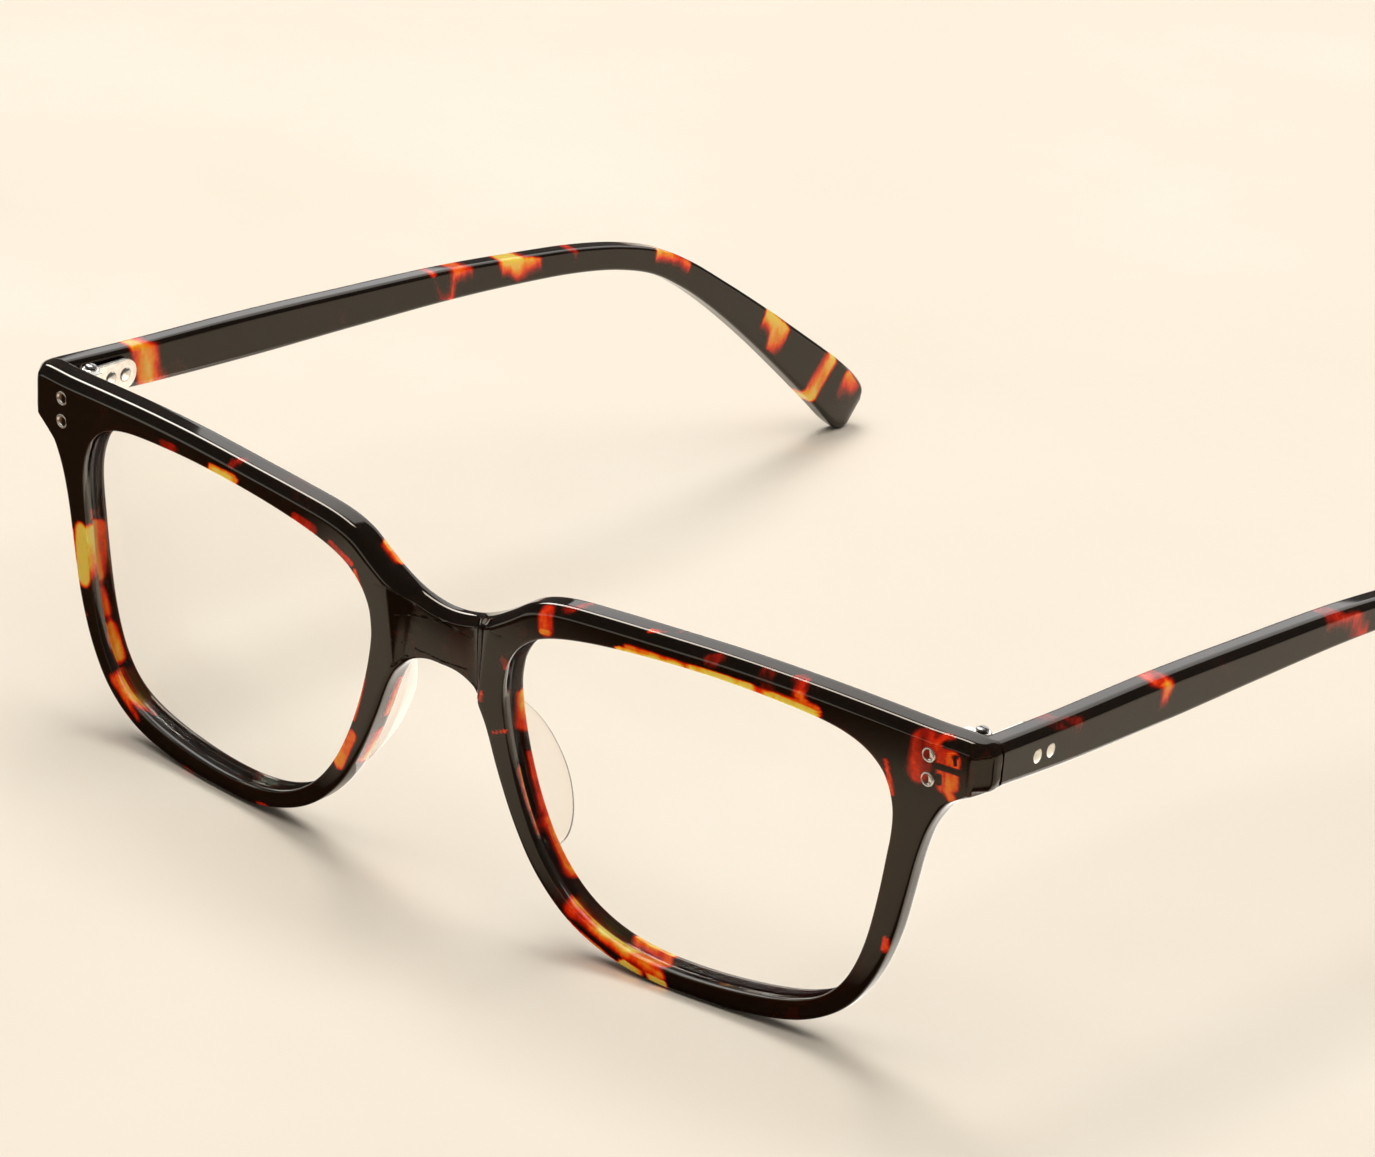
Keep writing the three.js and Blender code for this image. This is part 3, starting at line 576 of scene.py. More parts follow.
def knuckle(name, side, k):
    """One barrel of the hinge with softened ends and a bore for the screw."""
    low = knuckle_bottom(k)
    soft = KNUCKLE_EDGE
    profile = [(BARREL_BORE, low + soft), (BARREL_BORE + soft, low), (BARREL_RADIUS - soft, low),
               (BARREL_RADIUS, low + soft), (BARREL_RADIUS, low + KNUCKLE - soft),
               (BARREL_RADIUS - soft, low + KNUCKLE), (BARREL_BORE + soft, low + KNUCKLE),
               (BARREL_BORE, low + KNUCKLE - soft)]
    turns = np.linspace(0, 2 * math.pi, 40, endpoint=False)
    middle = (side * HINGE[0], HINGE[1])
    rings = []
    for a in turns:
        rings.append([(middle[0] + r * math.cos(a), middle[1] + r * math.sin(a), z) for r, z in profile])
    rings = np.array(rings + rings[:1])
    return new_object(name, rings.reshape(-1, 3), loft_faces(len(rings), len(profile), capped=False))


def slab(name, low, high, side):
    """A block between two opposite corners, given for the left side."""
    xs, ys, zs = zip(low, high)
    corners = [(side * x, y, z) for x in xs for y in ys for z in zs]
    faces = [(0, 1, 3, 2), (4, 6, 7, 5), (0, 4, 5, 1), (2, 3, 7, 6), (0, 2, 6, 4), (1, 5, 7, 3)]
    return new_object(name, corners, faces)


def joined(name, pieces, width):
    """The pieces of one metal part as one object, with their edges rounded."""
    made = bmesh.new()
    for piece in pieces:
        made.from_mesh(piece.data)
        bpy.data.objects.remove(piece)
    mesh = bpy.data.meshes.new(name)
    made.to_mesh(mesh)
    made.free()
    mesh.shade_smooth()
    obj = bpy.data.objects.new(name, mesh)
    bpy.context.scene.collection.objects.link(obj)
    return rounded(obj, width, angle=30, segments=2)


def build_temple_leaf(hand):
    """A strap with a round end, on the inner face of the temple, and two knuckles."""
    side = HANDS[hand]
    x0, x1 = TEMPLE_LEAF_X, TEMPLE_LEAF_X + LEAF_THICKNESS
    y0, y1 = TEMPLE_LEAF_Y
    turns = np.linspace(-math.pi / 2, math.pi / 2, 24)
    outline = [(y0, TEMPLE_RIVET_Z + LEAF_HALF_HEIGHT), (y0, TEMPLE_RIVET_Z - LEAF_HALF_HEIGHT)]
    r = LEAF_HALF_HEIGHT
    outline += [(y1 + r * math.cos(a), TEMPLE_RIVET_Z + r * math.sin(a)) for a in turns]
    rings = [[(side * x, y, z) for y, z in outline] for x in (x0, x1)]
    pieces = [loft("leaf", rings)]
    for k in range(1, KNUCKLES, 2):
        near = (HINGE[0] + ARM_START, HINGE[1] + 0.2, knuckle_bottom(k))
        far = (x1, y0 + TEMPLE_ARM_OVERLAP, knuckle_bottom(k) + KNUCKLE)
        pieces += [knuckle("knuckle", side, k), slab("arm", near, far, side)]
    return joined("temple_leaf_metal_" + hand, pieces, METAL_EDGE)


def build_front_leaf(hand):
    """A plate on the back of the end piece, and three knuckles."""
    side = HANDS[hand]
    (u0, u1), t = FRONT_LEAF_U, LEAF_THICKNESS
    plate = []
    for v in FRONT_LEAF_V:
        for u, out in ((u0, 0), (u1, 0), (u1, t), (u0, t)):
            plate.append(place(side * u, bow(u) + THICKNESS + LEAF_GAP + out, v))
    pieces = [new_object("plate", plate, loft_faces(2, 4))]
    for k in range(0, KNUCKLES, 2):
        near = (HINGE[0] - ARM_REACH, HINGE[1] - ARM_REACH, knuckle_bottom(k))
        far = (HINGE[0] - FRONT_ARM_START, HINGE[1], knuckle_bottom(k) + KNUCKLE)
        pieces += [knuckle("knuckle", side, k), slab("arm", near, far, side)]
    return joined("front_leaf_metal_" + hand, pieces, METAL_EDGE)


def build_screw(hand):
    """A cheese-head screw down the barrels, its head slotted."""
    side = HANDS[hand]
    bottom, top = HINGE_BOTTOM_Z, knuckle_bottom(KNUCKLES) - KNUCKLE_GAP / 2
    shaft, head, height = SCREW_SHAFT, SCREW_HEAD, SCREW_HEAD_HEIGHT
    profile = [(0.01, bottom), (shaft - 0.1, bottom), (shaft, bottom + 0.1), (shaft, top),
               (head - 0.08, top), (head, top + 0.08), (head, top + height - 0.2),
               (head - 0.08, top + height - 0.1), (head - 0.25, top + height), (0.01, top + height)]
    screw = turned("screw_metal_" + hand, (side * HINGE[0], HINGE[1], 0), (0, 0, 1), profile)
    near = (HINGE[0] - 2, HINGE[1] - SLOT_HALF_WIDTH, top + height - SLOT_DEPTH)
    cutter = slab("slot", near, (HINGE[0] + 2, HINGE[1] + SLOT_HALF_WIDTH, top + 2), side)
    cut = screw.modifiers.new("slot", "BOOLEAN")
    cut.operation = "DIFFERENCE"
    cut.object = cutter
    bpy.context.view_layer.update()
    mesh = bpy.data.meshes.new_from_object(screw.evaluated_get(bpy.context.evaluated_depsgraph_get()))
    screw.modifiers.clear()
    screw.data = mesh
    bpy.data.objects.remove(cutter)
    return rounded(screw, 0.04, angle=35, segments=2)


def build_front_rivet(hand, end):
    """A tubular rivet: a bright ring round a dished centre."""
    side = HANDS[hand]
    v = FRONT_RIVET_V[end]
    start = place(side * FRONT_RIVET_U, bow(FRONT_RIVET_U), v)
    ahead = place(side * FRONT_RIVET_U, bow(FRONT_RIVET_U) + 1, v)
    length = THICKNESS + LEAF_GAP + LEAF_THICKNESS + RIVET_HEAD
    r = RIVET_RADIUS
    profile = [(0.01, 0.02), (0.3 * r, 0.02), (0.6 * r, 0.0), (0.68 * r, -0.05), (0.76 * r, -0.13),
               (0.86 * r, -0.15), (0.95 * r, -0.11), (r, -0.02), (r, length - 0.2), (0.8 * r, length - 0.06),
               (0.4 * r, length), (0.01, length)]
    return turned(f"front_rivet_metal_{hand}_{end}", start, ahead - start, profile)


def build_temple_rivet(hand, end):
    """A solid rivet, flush and polished outside and domed over the leaf inside."""
    side = HANDS[hand]
    y = TEMPLE_RIVET_Y[end]
    inner = TEMPLE_LEAF_X - RIVET_HEAD
    length = outer_x(y) - inner
    r = RIVET_RADIUS
    profile = [(0.01, 0), (0.4 * r, 0.02), (0.75 * r, 0.1), (r, 0.25), (r, length - 0.05),
               (0.95 * r, length), (0.6 * r, length + 0.03), (0.01, length + 0.04)]
    start = (side * inner, y, TEMPLE_RIVET_Z)
    return turned(f"temple_rivet_metal_{hand}_{end}", start, (side, 0, 0), profile)


# ---------------- tortoiseshell patches
# Peak warmth of a patch: the acetate goes from near black through red and orange to pale yellow.
DEEP, RED, ORANGE, AMBER, YELLOW = 0.44, 0.54, 0.7, 0.84, 1.0
DARK = -1  # a dark streak that crosses the patches listed before it
# Patches of the front: warmth, radius, and the (u, v, depth behind the face) of both ends.
FRONT_PATCHES = [
    # the right rim's temple side and bottom
    (YELLOW, 1.5, (-61.1, -3, 0.6), (-60.8, -8.4, 0.6)),
    (ORANGE, 0.9, (-60.6, -2.6, 2.6), (-60.2, -8.6, 2.6)),
    (ORANGE, 0.7, (-63, -3.4, 0.5), (-62.6, -7, 0.5)),
    (RED, 0.7, (-60.8, -0.9, 1.2), (-60.8, -0.4, 1.6)),
    (ORANGE, 1.2, (-60.2, -10.4, 1.6), (-59.2, -13, 2)),
    (AMBER, 0.6, (-60, -13, 0.6), (-59.6, -13.8, 0.8)),
    (AMBER, 1.1, (-58.2, -14.8, 2), (-56.5, -17.8, 2)),
    (ORANGE, 1.1, (-55, -19.4, 0.8), (-50, -22.6, 1)),
    (AMBER, 0.5, (-54.4, -20.2, 0.8), (-51, -22.2, 1)),
    (RED, 0.5, (-52.6, -23.3, 0), (-51.8, -23.6, 0)),
    (RED, 0.5, (-41.5, -25.6, 0), (-39.8, -25.8, 0)),
    (RED, 0.45, (-28.4, -24.9, 0), (-26.6, -24.7, 0)),
    # its brow and nose side
    (DEEP, 0.6, (-46, 14.3, 0), (-43.4, 14.4, 0)),
    (AMBER, 0.5, (-36.2, 14.4, 0), (-33.6, 14.3, 0)),
    (ORANGE, 0.65, (-37, 14.4, 0), (-32.8, 14.5, 0)),
    (DEEP, 0.8, (-33.6, 16, 0.3), (-32.4, 16.3, 1.5)),
    (DEEP, 0.8, (-22.4, 13.5, 0), (-19.4, 13.2, 0)),
    (RED, 0.45, (-16.6, 12.5, 0), (-13.2, 11.1, 0)),
    (RED, 0.35, (-12.6, 10.4, 0), (-10.6, 6.4, 0)),
    (RED, 0.3, (-10.2, 4, 0), (-10.8, -2.4, 0)),
    (RED, 0.4, (-10.8, -2.4, 0), (-12.4, -8, 0)),
    (ORANGE, 0.9, (-12.7, -10.2, 0), (-14.6, -14.4, 0)),
    (AMBER, 1.2, (-10.4, -10, 2), (-12.4, -13.6, 2)),
    (ORANGE, 0.5, (-7.3, -2, 2.6), (-9.4, -7, 2.6)),
    # the bridge
    (AMBER, 0.7, (-10.8, 13.2, 3.4), (-8.6, 12, 3.4)),
    (RED, 0.45, (3.2, 3.4, 0.4), (4.8, 2.6, 0.4)),
    (RED, 0.35, (7, 2.2, 0), (6.8, 1.2, 0)),
    (DEEP, 0.8, (9.8, 7.2, 0), (10.2, 6.6, 0)),
    (RED, 0.3, (8.8, -2.2, 0), (11, -1.2, 0)),
    # the left rim's brow and end piece
    (RED, 1.25, (15.7, 15, 0), (15.8, 13, 0)),
    (ORANGE, 0.4, (15.2, 12.4, 0), (16.2, 12.5, 0)),
    (DEEP, 1, (17.6, 16.2, 0), (19.4, 15.8, 2.4)),
    (DEEP, 1, (37.4, 15.9, 0), (40, 15.6, 2)),
    (DEEP, 1.1, (44.4, 16.6, 0.6), (45, 14.8, 0)),
    (RED, 1.2, (48.2, 16.8, 1.6), (49, 15, 0)),
    (ORANGE, 0.55, (48.6, 15.4, 0), (49.6, 14.6, 0)),
    (ORANGE, 0.95, (27, 13.7, 0), (51, 13.8, 0)),
    (AMBER, 0.4, (25.6, 13.6, 0), (34, 14, 0)),
    (YELLOW, 0.6, (35.4, 14.2, 0), (43, 14.2, 0)),
    (YELLOW, 0.65, (45.4, 14, 0), (50.8, 13.5, 0)),
    (RED, 0.5, (29, 16.6, 1), (32, 16.8, 2.6)),
    (RED, 1.7, (64.4, 14.4, 0), (63.8, 10.6, 0)),
    (RED, 1.2, (66.6, 15, 0.4), (67, 9.6, 0.4)),
    (ORANGE, 1.0, (67.9, 13.2, 0), (67.9, 10, 0)),
    (ORANGE, 0.85, (67.4, 9.2, 0.5), (67.9, 8.6, 0.5)),
    (DARK, 0.32, (66.2, 11.8, 0), (69.6, 11.7, 0)),
    (DARK, 0.45, (67.2, 16.2, 0.6), (67.1, 14.6, 0)),
    (DARK, 0.3, (66.3, 10.6, 0), (66.3, 9.9, 0)),
    (DARK, 0.18, (68.2, 13.6, 0), (68.2, 12.6, 0)),
    (RED, 0.4, (59.9, 10.6, 0), (60.9, 7, 0)),
    (RED, 0.5, (61, -10.6, 0.2), (60.8, -12, 0.2)),
    # its nose side and bottom
    (ORANGE, 0.9, (10.1, 1.7, 3.3), (10.3, -1.8, 3.3)),
    (ORANGE, 0.65, (11.8, -6.2, 1), (14.4, -13.2, 1)),
    (RED, 0.9, (12, -5, 3), (14, -11.5, 3)),
    (ORANGE, 1, (14.4, -12.4, 3.2), (17.9, -17.4, 3.2)),
    (ORANGE, 1.5, (20.4, -20.2, 1), (32.4, -24.2, 1)),
    (AMBER, 0.8, (20.6, -19.7, 1), (24, -21.7, 1)),
    (YELLOW, 0.8, (24.2, -21.6, 0.9), (28.4, -23, 0.9)),
    (ORANGE, 0.5, (20, -21.9, 0.3), (27, -24.9, 0.3)),
    (YELLOW, 0.6, (27.9, -24.5, 0), (29.7, -24.9, 0)),
    (YELLOW, 0.5, (31.4, -24.9, 0.2), (33.3, -25.2, 0.2)),
    (AMBER, 0.8, (29.8, -23.4, 0.6), (33, -24.2, 0.6)),
    (AMBER, 0.8, (27.4, -23, 3.3), (32, -23.8, 3.3)),
]
# Patches of the temples: warmth, radius, and the (y, z) of both ends.
TEMPLE_PATCHES = {
    "right": [
        (AMBER, 1.1, (20.8, 15.4), (23, 14.4)),
        (AMBER, 1.9, (22.6, 13), (24, 10)),
        (DARK, 0.5, (22.6, 12.2), (24, 11.6)),
        (RED, 0.6, (43.5, 13.4), (43.9, 12.8)),
        (RED, 0.7, (59.8, 11.8), (60.6, 11)),
        (DEEP, 0.9, (66, 12), (67, 10.6)),
        (RED, 0.8, (70.4, 14), (72, 13.6)),
        (ORANGE, 0.9, (75.4, 13), (77.4, 12.6)),
        (RED, 0.8, (73.6, 10.2), (75, 9.6)),
        (YELLOW, 0.8, (84, 12.6), (87, 12.2)),
        (AMBER, 0.8, (87, 11.6), (90, 11)),
        (RED, 1, (86, 10.2), (92, 10)),
        (RED, 0.7, (96.6, 11.4), (97.4, 10.8)),
        (RED, 0.6, (99.2, 9.3), (99.9, 8.9)),
        (AMBER, 0.8, (113, 7.9), (115, 6.8)),
        (AMBER, 0.9, (115.4, 5.4), (118.4, 3.6)),
        (ORANGE, 1.3, (113.4, 7), (118, 4.4)),
        (YELLOW, 1.2, (135.4, -6), (138.6, -9)),
        (RED, 1, (136, -9.8), (138, -11.2)),
        (AMBER, 1.6, (148.6, -15), (145, -19)),
        (YELLOW, 0.8, (148.6, -15.6), (146, -18)),
        (AMBER, 1.2, (152.4, -18.4), (154.2, -20.8)),
    ],
    "left": [
        (RED, 0.45, (10.8, 12), (12.6, 11.9)),
        (DEEP, 0.7, (18.6, 15.2), (24, 14.2)),
        (AMBER, 0.7, (39.6, 14), (41.4, 13)),
        (ORANGE, 1.1, (38.8, 15), (41, 11.6)),
        (RED, 0.3, (32.6, 11.2), (33.6, 11)),
        (ORANGE, 0.25, (48, 11.4), (49.6, 11.4)),
        (ORANGE, 0.25, (51.8, 11.3), (53.2, 11.3)),
        (ORANGE, 0.25, (55.8, 11.2), (57.6, 11.2)),
        (RED, 0.35, (65.4, 11.4), (68, 11.3)),
        (RED, 1.6, (72, 12.4), (79, 10.6)),
        (AMBER, 1.2, (96, 9.6), (100, 9.2)),
        (YELLOW, 1.2, (112, 6.6), (117, 4)),
        (RED, 1.3, (124, 0), (128, -3)),
        (AMBER, 1.5, (136, -7), (141, -13)),
        (YELLOW, 1.6, (149, -17), (152, -22)),
    ],
}


PATCH_FADE = (0.6, 1.45)  # a patch fades out between these multiples of its radius


def capsule_warmth(points, patches):
    """How warm the acetate is at each point: each patch fades out from the line between its ends."""
    warmth = np.zeros(len(points))
    for peak, radius, start, end in patches:
        a, b = np.array(start, float), np.array(end, float)
        span = b - a
        t = np.clip(((points - a) @ span) / (span @ span), 0, 1)
        gap = np.linalg.norm(points - a - t[:, None] * span, axis=1)
        fade = 1 - smoothstep(gap / radius, *PATCH_FADE)
        warmth = warmth * (1 - fade) if peak == DARK else np.maximum(warmth, peak * fade)
    return warmth


def add_warmth(obj, flat, patches):
    """Stores the patches on the finished mesh. flat turns drawing-frame points into the patches' frame."""
    co = np.array([v.co for v in obj.data.vertices]) / MM - SHIFT
    layer = obj.data.attributes.new("warmth", "FLOAT", "POINT")
    layer.data.foreach_set("value", capsule_warmth(flat(co), patches).astype(np.float32))


def behind_face(p):
    """Drawing-frame points as (u, v, depth behind the bowed face)."""
    u, d, v = unplace(p).T
    return np.stack([u, v, d - bow(u)], -1)


# ---------------- materials
def new_material(name):
    material = bpy.data.materials.new(name)
    material.use_nodes = True
    tree = material.node_tree
    tree.nodes.clear()
    output = tree.nodes.new("ShaderNodeOutputMaterial")
    return material, tree, output


def add(tree, kind, links=None, **settings):
    """A node with its inputs set by name, from values or from the sockets in links."""
    node = tree.nodes.new(kind)
    for key, value in settings.items():
        setattr(node, key, value)
    for key, value in (links or {}).items():
        if isinstance(value, bpy.types.NodeSocket):
            tree.links.new(value, node.inputs[key])
        else:
            node.inputs[key].default_value = value
    return node


def noise(tree, scale, detail=2.0, roughness=0.5, stretch=(1, 1, 1)):
    """Noise of scale features to the metre, stretched by shrinking the coordinates."""
    where = add(tree, "ShaderNodeTexCoord").outputs["Object"]
    shrunk = add(tree, "ShaderNodeVectorMath", {0: where, 1: stretch}, operation="MULTIPLY").outputs["Vector"]
    return add(tree, "ShaderNodeTexNoise", {"Vector": shrunk, "Scale": scale, "Detail": detail,
                                            "Roughness": roughness}).outputs["Fac"]


def ramp(tree, value, stops):
    node = add(tree, "ShaderNodeValToRGB", {"Fac": value})
    elements = node.color_ramp.elements
    while len(elements) < len(stops):
        elements.new(0.5)
    for element, (at, colour) in zip(elements, stops):
        element.position = at
        element.color = (*colour, 1)
    return node.outputs["Color"]


def math_node(tree, operation, *values):
    return add(tree, "ShaderNodeMath", dict(enumerate(values)), operation=operation).outputs[0]


def spread(tree, value, low, high):
    """A value from 0 to 1 taken to low to high."""
    return math_node(tree, "MULTIPLY_ADD", value, high - low, low)


def bumped(tree, height, strength, distance):
    values = {"Height": height, "Strength": strength, "Distance": distance}
    return add(tree, "ShaderNodeBump", values).outputs["Normal"]


def tortoiseshell():
    """Polished acetate: near black, with translucent red, orange and amber patches that have uneven edges.
    Light that meets a patch goes on through it tinted, which warms the shadows."""
    material, tree, output = new_material("tortoiseshell_acetate")
    warmth = add(tree, "ShaderNodeAttribute", attribute_name="warmth").outputs["Fac"]
    streaks = spread(tree, noise(tree, 430, 3, 0.5, (1, 1, 0.5)), 0.45, 1.65)
    flecks = spread(tree, noise(tree, 2000, 2), -0.07, 0.07)
    mottles = spread(tree, noise(tree, 150, 3, 0.6), -1.2, 1.08)
    patch = math_node(tree, "ADD", math_node(tree, "MULTIPLY", warmth, streaks), flecks)
    patch = math_node(tree, "MAXIMUM", patch, math_node(tree, "MINIMUM", mottles, 0.31))
    colour = ramp(tree, patch, [
        (0.0, (0.004, 0.0022, 0.0015)), (0.27, (0.008, 0.003, 0.0018)), (0.38, (0.045, 0.004, 0.0015)),
        (0.5, (0.3, 0.008, 0.002)), (0.62, (0.75, 0.032, 0.003)), (0.74, (0.95, 0.17, 0.006)),
        (0.88, (1.0, 0.42, 0.025)), (1.0, (1.0, 0.64, 0.12)),
    ])
    shader = add(tree, "ShaderNodeBsdfPrincipled", {
        "Base Color": colour, "IOR": 1.5, "Specular Tint": (1, 0.88, 0.7, 1),
        "Roughness": spread(tree, noise(tree, 260, 3), 0.02, 0.08),
        "Normal": bumped(tree, noise(tree, 130, 1), 0.25, 0.00004),
        "Subsurface Weight": 1.0, "Subsurface Radius": (1.0, 0.5, 0.2), "Subsurface Scale": 0.005,
    })
    passed = ramp(tree, patch, [(0.42, (0, 0, 0)), (0.6, (0.45, 0.2, 0.05)), (1.0, (1.0, 0.72, 0.3))])
    lets_light_on(tree, output, shader, passed)
    return material


def lets_light_on(tree, output, shader, tint):
    """Shadow rays pass through the material tinted, and everything else meets the shader."""
    shadow = add(tree, "ShaderNodeLightPath").outputs["Is Shadow Ray"]
    clear = add(tree, "ShaderNodeBsdfTransparent", {"Color": tint})
    mixed = add(tree, "ShaderNodeMixShader", {0: shadow, 1: shader.outputs[0], 2: clear.outputs[0]})
    tree.links.new(mixed.outputs[0], output.inputs["Surface"])


def see_through(tree, output, tint, shine, head_on):
    """A clear sheet that doesn't bend light: it lets it through, and mirrors more at a slant."""
    facing = add(tree, "ShaderNodeLayerWeight", {"Blend": 0.5}).outputs["Facing"]
    mirror = math_node(tree, "MULTIPLY_ADD", math_node(tree, "POWER", facing, 4.0), 0.7, head_on)
    clear = add(tree, "ShaderNodeBsdfTransparent", {"Color": tint})
    mixed = add(tree, "ShaderNodeMixShader", {0: mirror, 1: clear.outputs[0], 2: shine})
    tree.links.new(mixed.outputs[0], output.inputs["Surface"])


def lens_glass():
    """A coated lens: clear, with a faint green to violet colour in what it mirrors, and light smears."""
    material, tree, output = new_material("coated_lens")
    coating = ramp(tree, noise(tree, 28, 1), [(0.35, (0.62, 0.85, 0.74)), (0.65, (0.78, 0.76, 0.95))])
    tint = ramp(tree, noise(tree, 60, 2), [(0.3, (0.994, 0.997, 0.992)), (0.7, (1, 1, 0.998))])
    smear = spread(tree, noise(tree, 150, 4), 0.0, 0.05)
    shine = add(tree, "ShaderNodeBsdfGlossy", {"Color": coating, "Roughness": smear}).outputs[0]
    see_through(tree, output, tint, shine, 0.008)
    return material


def clear_pad():
    """Clear acetate with a faint warm tint, polished, and darker at a slant. A dark outline of painted shade
    runs along the ridge of the fin.
    """
    material, tree, output = new_material("clear_acetate")
    facing = add(tree, "ShaderNodeLayerWeight", {"Blend": 0.5}).outputs["Facing"]
    # the painted shade along the fin's ridge, read from the pad's mesh
    ridge = add(tree, "ShaderNodeAttribute", attribute_name="ridge").outputs["Fac"]
    wander = spread(tree, noise(tree, 300, 2), -0.04, 0.04)
    dark = math_node(tree, "MAXIMUM", math_node(tree, "ADD", facing, wander), ridge)
    tint = ramp(tree, dark, [
        (0.0, (0.995, 0.98, 0.97)), (0.5, (0.985, 0.955, 0.94)),
        (0.8, (0.93, 0.88, 0.85)), (0.98, (0.06, 0.05, 0.045)),
    ])
    shine = add(tree, "ShaderNodeBsdfGlossy", {
        "Color": (0.9, 0.88, 0.86, 1), "Roughness": spread(tree, noise(tree, 500, 2), 0.02, 0.1),
    }).outputs[0]
    see_through(tree, output, tint, shine, 0.01)
    return material


def metal(name, light, dark, low, high, grain):
    """Worked metal: its tone wanders a little, and fine scratches run through the polish."""
    material, tree, output = new_material(name)
    tone = ramp(tree, noise(tree, 900, 3), [(0.3, dark), (0.7, light)])
    scratches = noise(tree, grain, 4, 0.7)
    shader = add(tree, "ShaderNodeBsdfPrincipled", {
        "Base Color": tone, "Metallic": 1.0, "Roughness": spread(tree, scratches, low, high),
        "Normal": bumped(tree, scratches, 0.3, 0.00002),
    })
    tree.links.new(shader.outputs[0], output.inputs["Surface"])
    return material


def paper():
    """Pale cream paper for the floor, with a faint fibre."""
    material, tree, output = new_material("pale_floor")
    colour = ramp(tree, noise(tree, 14, 4), [(0.3, (0.87, 0.79, 0.665)), (0.7, (0.9, 0.83, 0.715))])
    shader = add(tree, "ShaderNodeBsdfPrincipled", {
        "Base Color": colour, "Roughness": 0.75, "Specular IOR Level": 0.2,
        "Normal": bumped(tree, noise(tree, 900, 3), 0.15, 0.0001),
    })
    tree.links.new(shader.outputs[0], output.inputs["Surface"])
    return material


# ---------------- the pieces
ACETATE = tortoiseshell()
NICKEL = metal("nickel_silver", (0.86, 0.82, 0.76), (0.7, 0.65, 0.58), 0.14, 0.34, 2600)
STEEL = metal("screw_steel", (0.5, 0.49, 0.48), (0.3, 0.29, 0.29), 0.2, 0.45, 3000)
LENS = lens_glass()
PAD = clear_pad()

front = settled(build_front(), ACETATE, "front", "tortoiseshell_acetate", "frame_front")
add_warmth(front, behind_face, FRONT_PATCHES)
for hand in HANDS:
    temple_body = hand + "_temple"
    temple = settled(build_temple(hand), ACETATE, temple_body, "tortoiseshell_acetate", "temple_" + hand)
    add_warmth(temple, lambda p: p[:, 1:], TEMPLE_PATCHES[hand])
    settled(build_lens(hand), LENS, "front", "clear_lens", "lens_" + hand)
    settled(build_pad(hand), PAD, "front", "clear_acetate", "nose_pad_" + hand)
    settled(build_front_leaf(hand), NICKEL, "front", "nickel_silver", "front_hinge_leaf_" + hand)
    settled(build_temple_leaf(hand), NICKEL, temple_body, "nickel_silver", "temple_hinge_leaf_" + hand)
    settled(build_screw(hand), STEEL, "front", "steel", "hinge_screw_" + hand)
    for end in FRONT_RIVET_V:
        rivet = build_front_rivet(hand, end)
        settled(rivet, NICKEL, "front", "nickel_silver", f"front_rivet_{hand}_{end}")
    for end in TEMPLE_RIVET_Y:
        rivet = build_temple_rivet(hand, end)
        settled(rivet, NICKEL, temple_body, "nickel_silver", f"temple_rivet_{hand}_{end}")
    wire = frame["nodes"]["core_wire_" + hand]
    wire.data.materials.clear()
    wire.data.materials.append(STEEL)


# ---------------- stage, light and camera
FLOOR_REACH = 1.6


def build_floor():
    corners = [(x * FLOOR_REACH, y * FLOOR_REACH, 0) for x, y in ((-1, -1), (1, -1), (1, 1), (-1, 1))]
    made = new_object("floor", corners, [(0, 1, 2, 3)])
    made.data.materials.append(paper())


# The dark card is a painted dark reflection: only reflections meet it.
CARD_REACH = 0.45
CARD_HEIGHT = 0.0005
CARD_CELLS = 180
CARD_SIDE = (-0.082, -0.066)  # x from full cover to none
CARD_FRONT = (-0.137, -0.125)  # y from full cover to none
CARD_FOOT = (-0.09, -0.083)  # y from no cover to full, under the feet of the rims, where it is painted shade
CARD_BACK = (-0.07, -0.066)  # y from full cover to none


def build_painted_dark_reflection():
    """A soft-edged dark card over the floor ahead of the front and to its right, met only by reflections: a
    painted dark reflection.
    The brow, the feet of the rims and the wearer's right rim mirror it, and the rest the pale floor. At the
    feet it is painted shade, the contact shadow that they mirror."""
    line = np.linspace(-CARD_REACH, CARD_REACH, CARD_CELLS)
    corners = [(x, y, CARD_HEIGHT) for x in line for y in line if y < 0]
    across = sum(line < 0)
    made = new_object("painted_dark_reflection", corners, loft_faces(CARD_CELLS, across, closed_ring=False, capped=False))
    co = np.array([v.co for v in made.data.vertices])
    cover = 1 - smoothstep(co[:, 0], *CARD_SIDE) * smoothstep(co[:, 1], *CARD_FRONT)
    feet = smoothstep(co[:, 1], *CARD_FOOT)
    cover = np.maximum(cover, feet) * (1 - smoothstep(co[:, 1], *CARD_BACK))
    made.data.attributes.new("cover", "FLOAT", "POINT").data.foreach_set("value", cover.astype(np.float32))
    # the painted dark reflection: a brown-black that only reflections meet
    material, tree, output = new_material("painted_dark_reflection")
    shader = add(tree, "ShaderNodeBsdfDiffuse", {"Color": (0.1, 0.055, 0.03, 1)})
    clear = add(tree, "ShaderNodeBsdfTransparent")
    amount = add(tree, "ShaderNodeAttribute", attribute_name="cover").outputs["Fac"]
    mixed = add(tree, "ShaderNodeMixShader", {0: amount, 1: clear.outputs[0], 2: shader.outputs[0]})
    tree.links.new(mixed.outputs[0], output.inputs["Surface"])
    made.data.materials.append(material)
    made.visible_camera = made.visible_diffuse = made.visible_shadow = made.visible_transmission = False


def area_light(name, place_m, aim_m, size, power, colour):
    lamp = bpy.data.lights.new(name, "AREA")
    lamp.shape = "RECTANGLE"
    lamp.size, lamp.size_y = size
    lamp.energy = power
    lamp.color = colour
    obj = bpy.data.objects.new(name, lamp)
    bpy.context.scene.collection.objects.link(obj)
    obj.location = place_m
    obj.rotation_euler = (Vector(aim_m) - Vector(place_m)).to_track_quat("-Z", "Y").to_euler()
    return obj


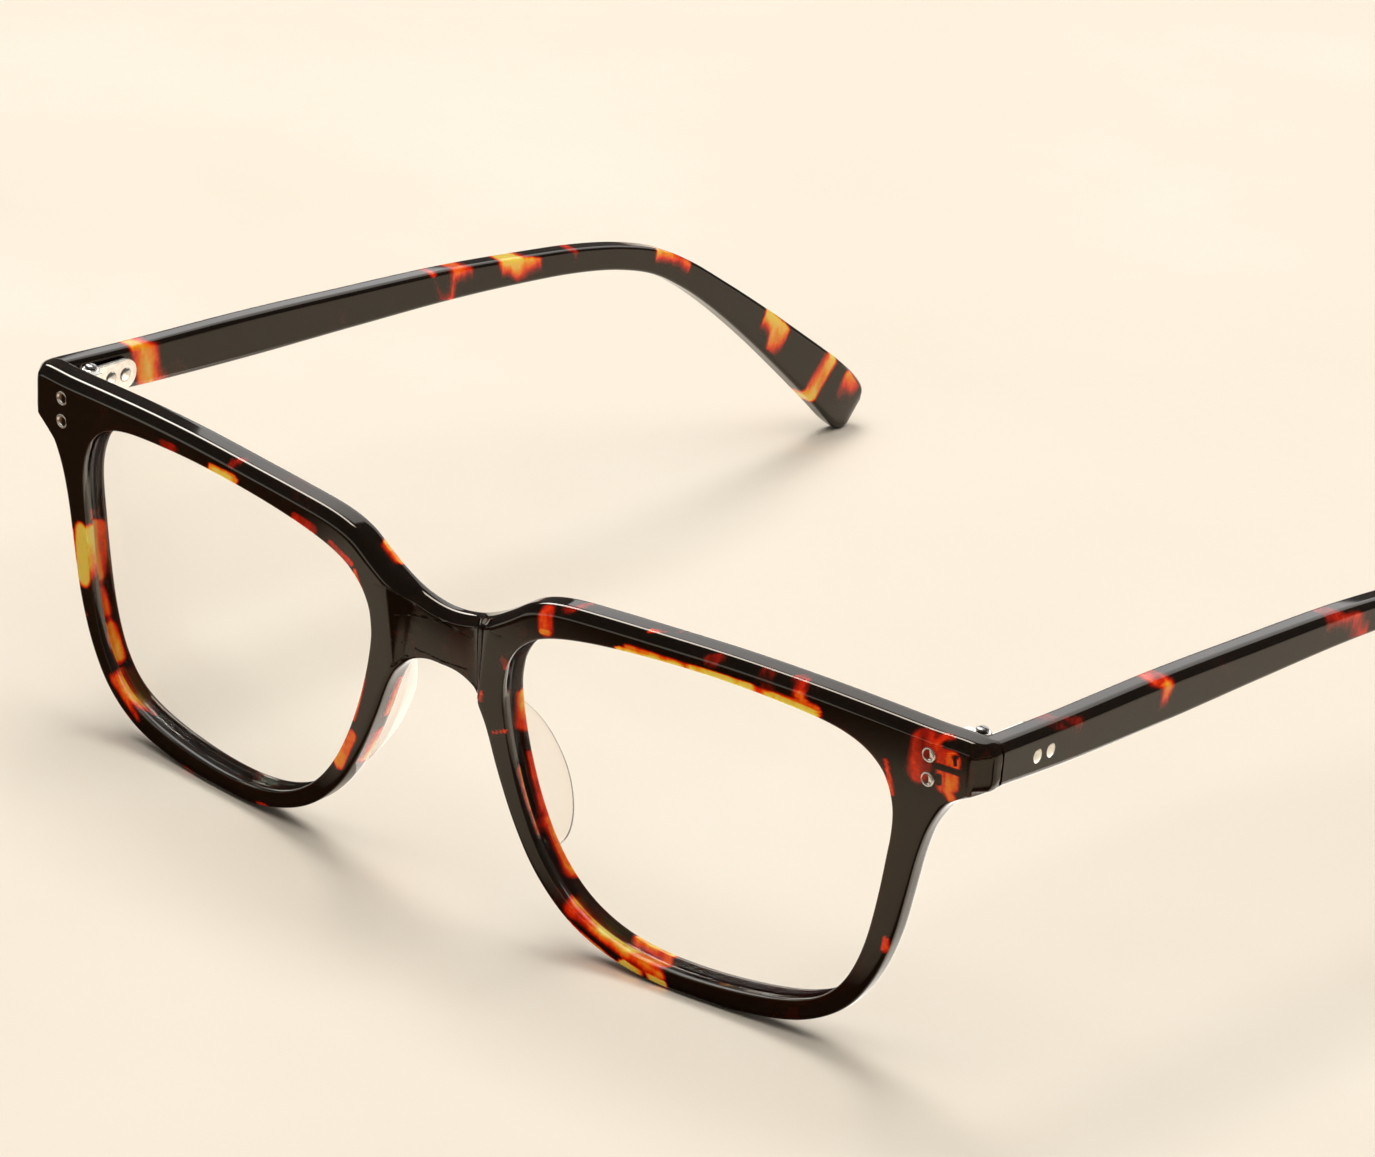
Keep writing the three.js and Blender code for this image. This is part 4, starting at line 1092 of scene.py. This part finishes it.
def build_light():
    """A dim even room, two soft lights that fall on everything, and four panels met only by reflections."""
    world = bpy.data.worlds.new("soft_room")
    world.use_nodes = True
    bpy.context.scene.world = world
    background = world.node_tree.nodes["Background"]
    background.inputs["Color"].default_value = (1.0, 0.91, 0.8, 1)
    background.inputs["Strength"].default_value = 0.13
    warm = (1, 0.97, 0.94)
    overhead = area_light("overhead_soft", (0.1, -0.05, 1.5), (0, -0.05, 0), (2.2, 2.2), 25.6, warm)
    key = area_light("key_soft", (-0.48, 0.36, 1.15), (0, 0, 0), (0.55, 0.55), 5.8, (1, 0.985, 0.96))
    overhead.visible_glossy = key.visible_glossy = False
    window = area_light("window_glint", (-0.36, 0.95, 0.7), (0, 0, 0.03), (1.17, 0.8), 4.7, (0.97, 0.98, 1))
    strip = area_light("edge_glint", (-0.66, 0.2, 0.98), (0, 0, 0), (0.36, 1.1), 15, (1, 0.99, 0.97))
    low = area_light("low_glint", (-0.55, -1.0, 0.17), (0, 0, 0.03), (1.6, 0.36), 2.2, (0.95, 1, 0.97))
    under = area_light("side_glint", (0.03, -0.03, 0.001), (0.03, -0.03, 1), (0.16, 0.07), 0.045, warm)
    for panel in (window, strip, low, under):
        panel.visible_diffuse = panel.visible_camera = panel.visible_transmission = False


CAMERA_AIM = (0.018, -0.0562, 0.0393)
CAMERA_DISTANCE = 0.860
CAMERA_AZIMUTH = math.radians(38.75)  # from straight ahead of the front towards the wearer's left
CAMERA_ELEVATION = math.radians(22.15)
CAMERA_ROLL = math.radians(5.15)
IMAGE_WIDTH = 1375
FOCAL_WIDTHS = 5.6225  # focal length over image width
PRINCIPAL_OFFSET = (6.38, 1.64)  # of the optical axis from the image's centre, right and down


def build_camera():
    lens = bpy.data.cameras.new("camera")
    lens.sensor_width = 36
    lens.lens = 36 * FOCAL_WIDTHS
    lens.shift_x = -PRINCIPAL_OFFSET[0] / IMAGE_WIDTH
    lens.shift_y = PRINCIPAL_OFFSET[1] / IMAGE_WIDTH
    lens.clip_start = 0.05
    camera = bpy.data.objects.new("camera", lens)
    bpy.context.scene.collection.objects.link(camera)
    ahead = Vector((-math.sin(CAMERA_AZIMUTH), math.cos(CAMERA_AZIMUTH), 0)) * math.cos(CAMERA_ELEVATION)
    ahead.z = -math.sin(CAMERA_ELEVATION)
    level = ahead.cross(Vector((0, 0, 1))).normalized()
    right = (level * math.cos(CAMERA_ROLL) + level.cross(ahead) * math.sin(CAMERA_ROLL)).normalized()
    up = right.cross(ahead)
    turn = Matrix((right, up, -ahead)).transposed().to_4x4()
    camera.matrix_world = Matrix.Translation(Vector(CAMERA_AIM) - ahead * CAMERA_DISTANCE) @ turn
    bpy.context.scene.camera = camera


build_floor()
build_painted_dark_reflection()
build_light()
build_camera()
bpy.context.scene.view_settings.view_transform = "Standard"
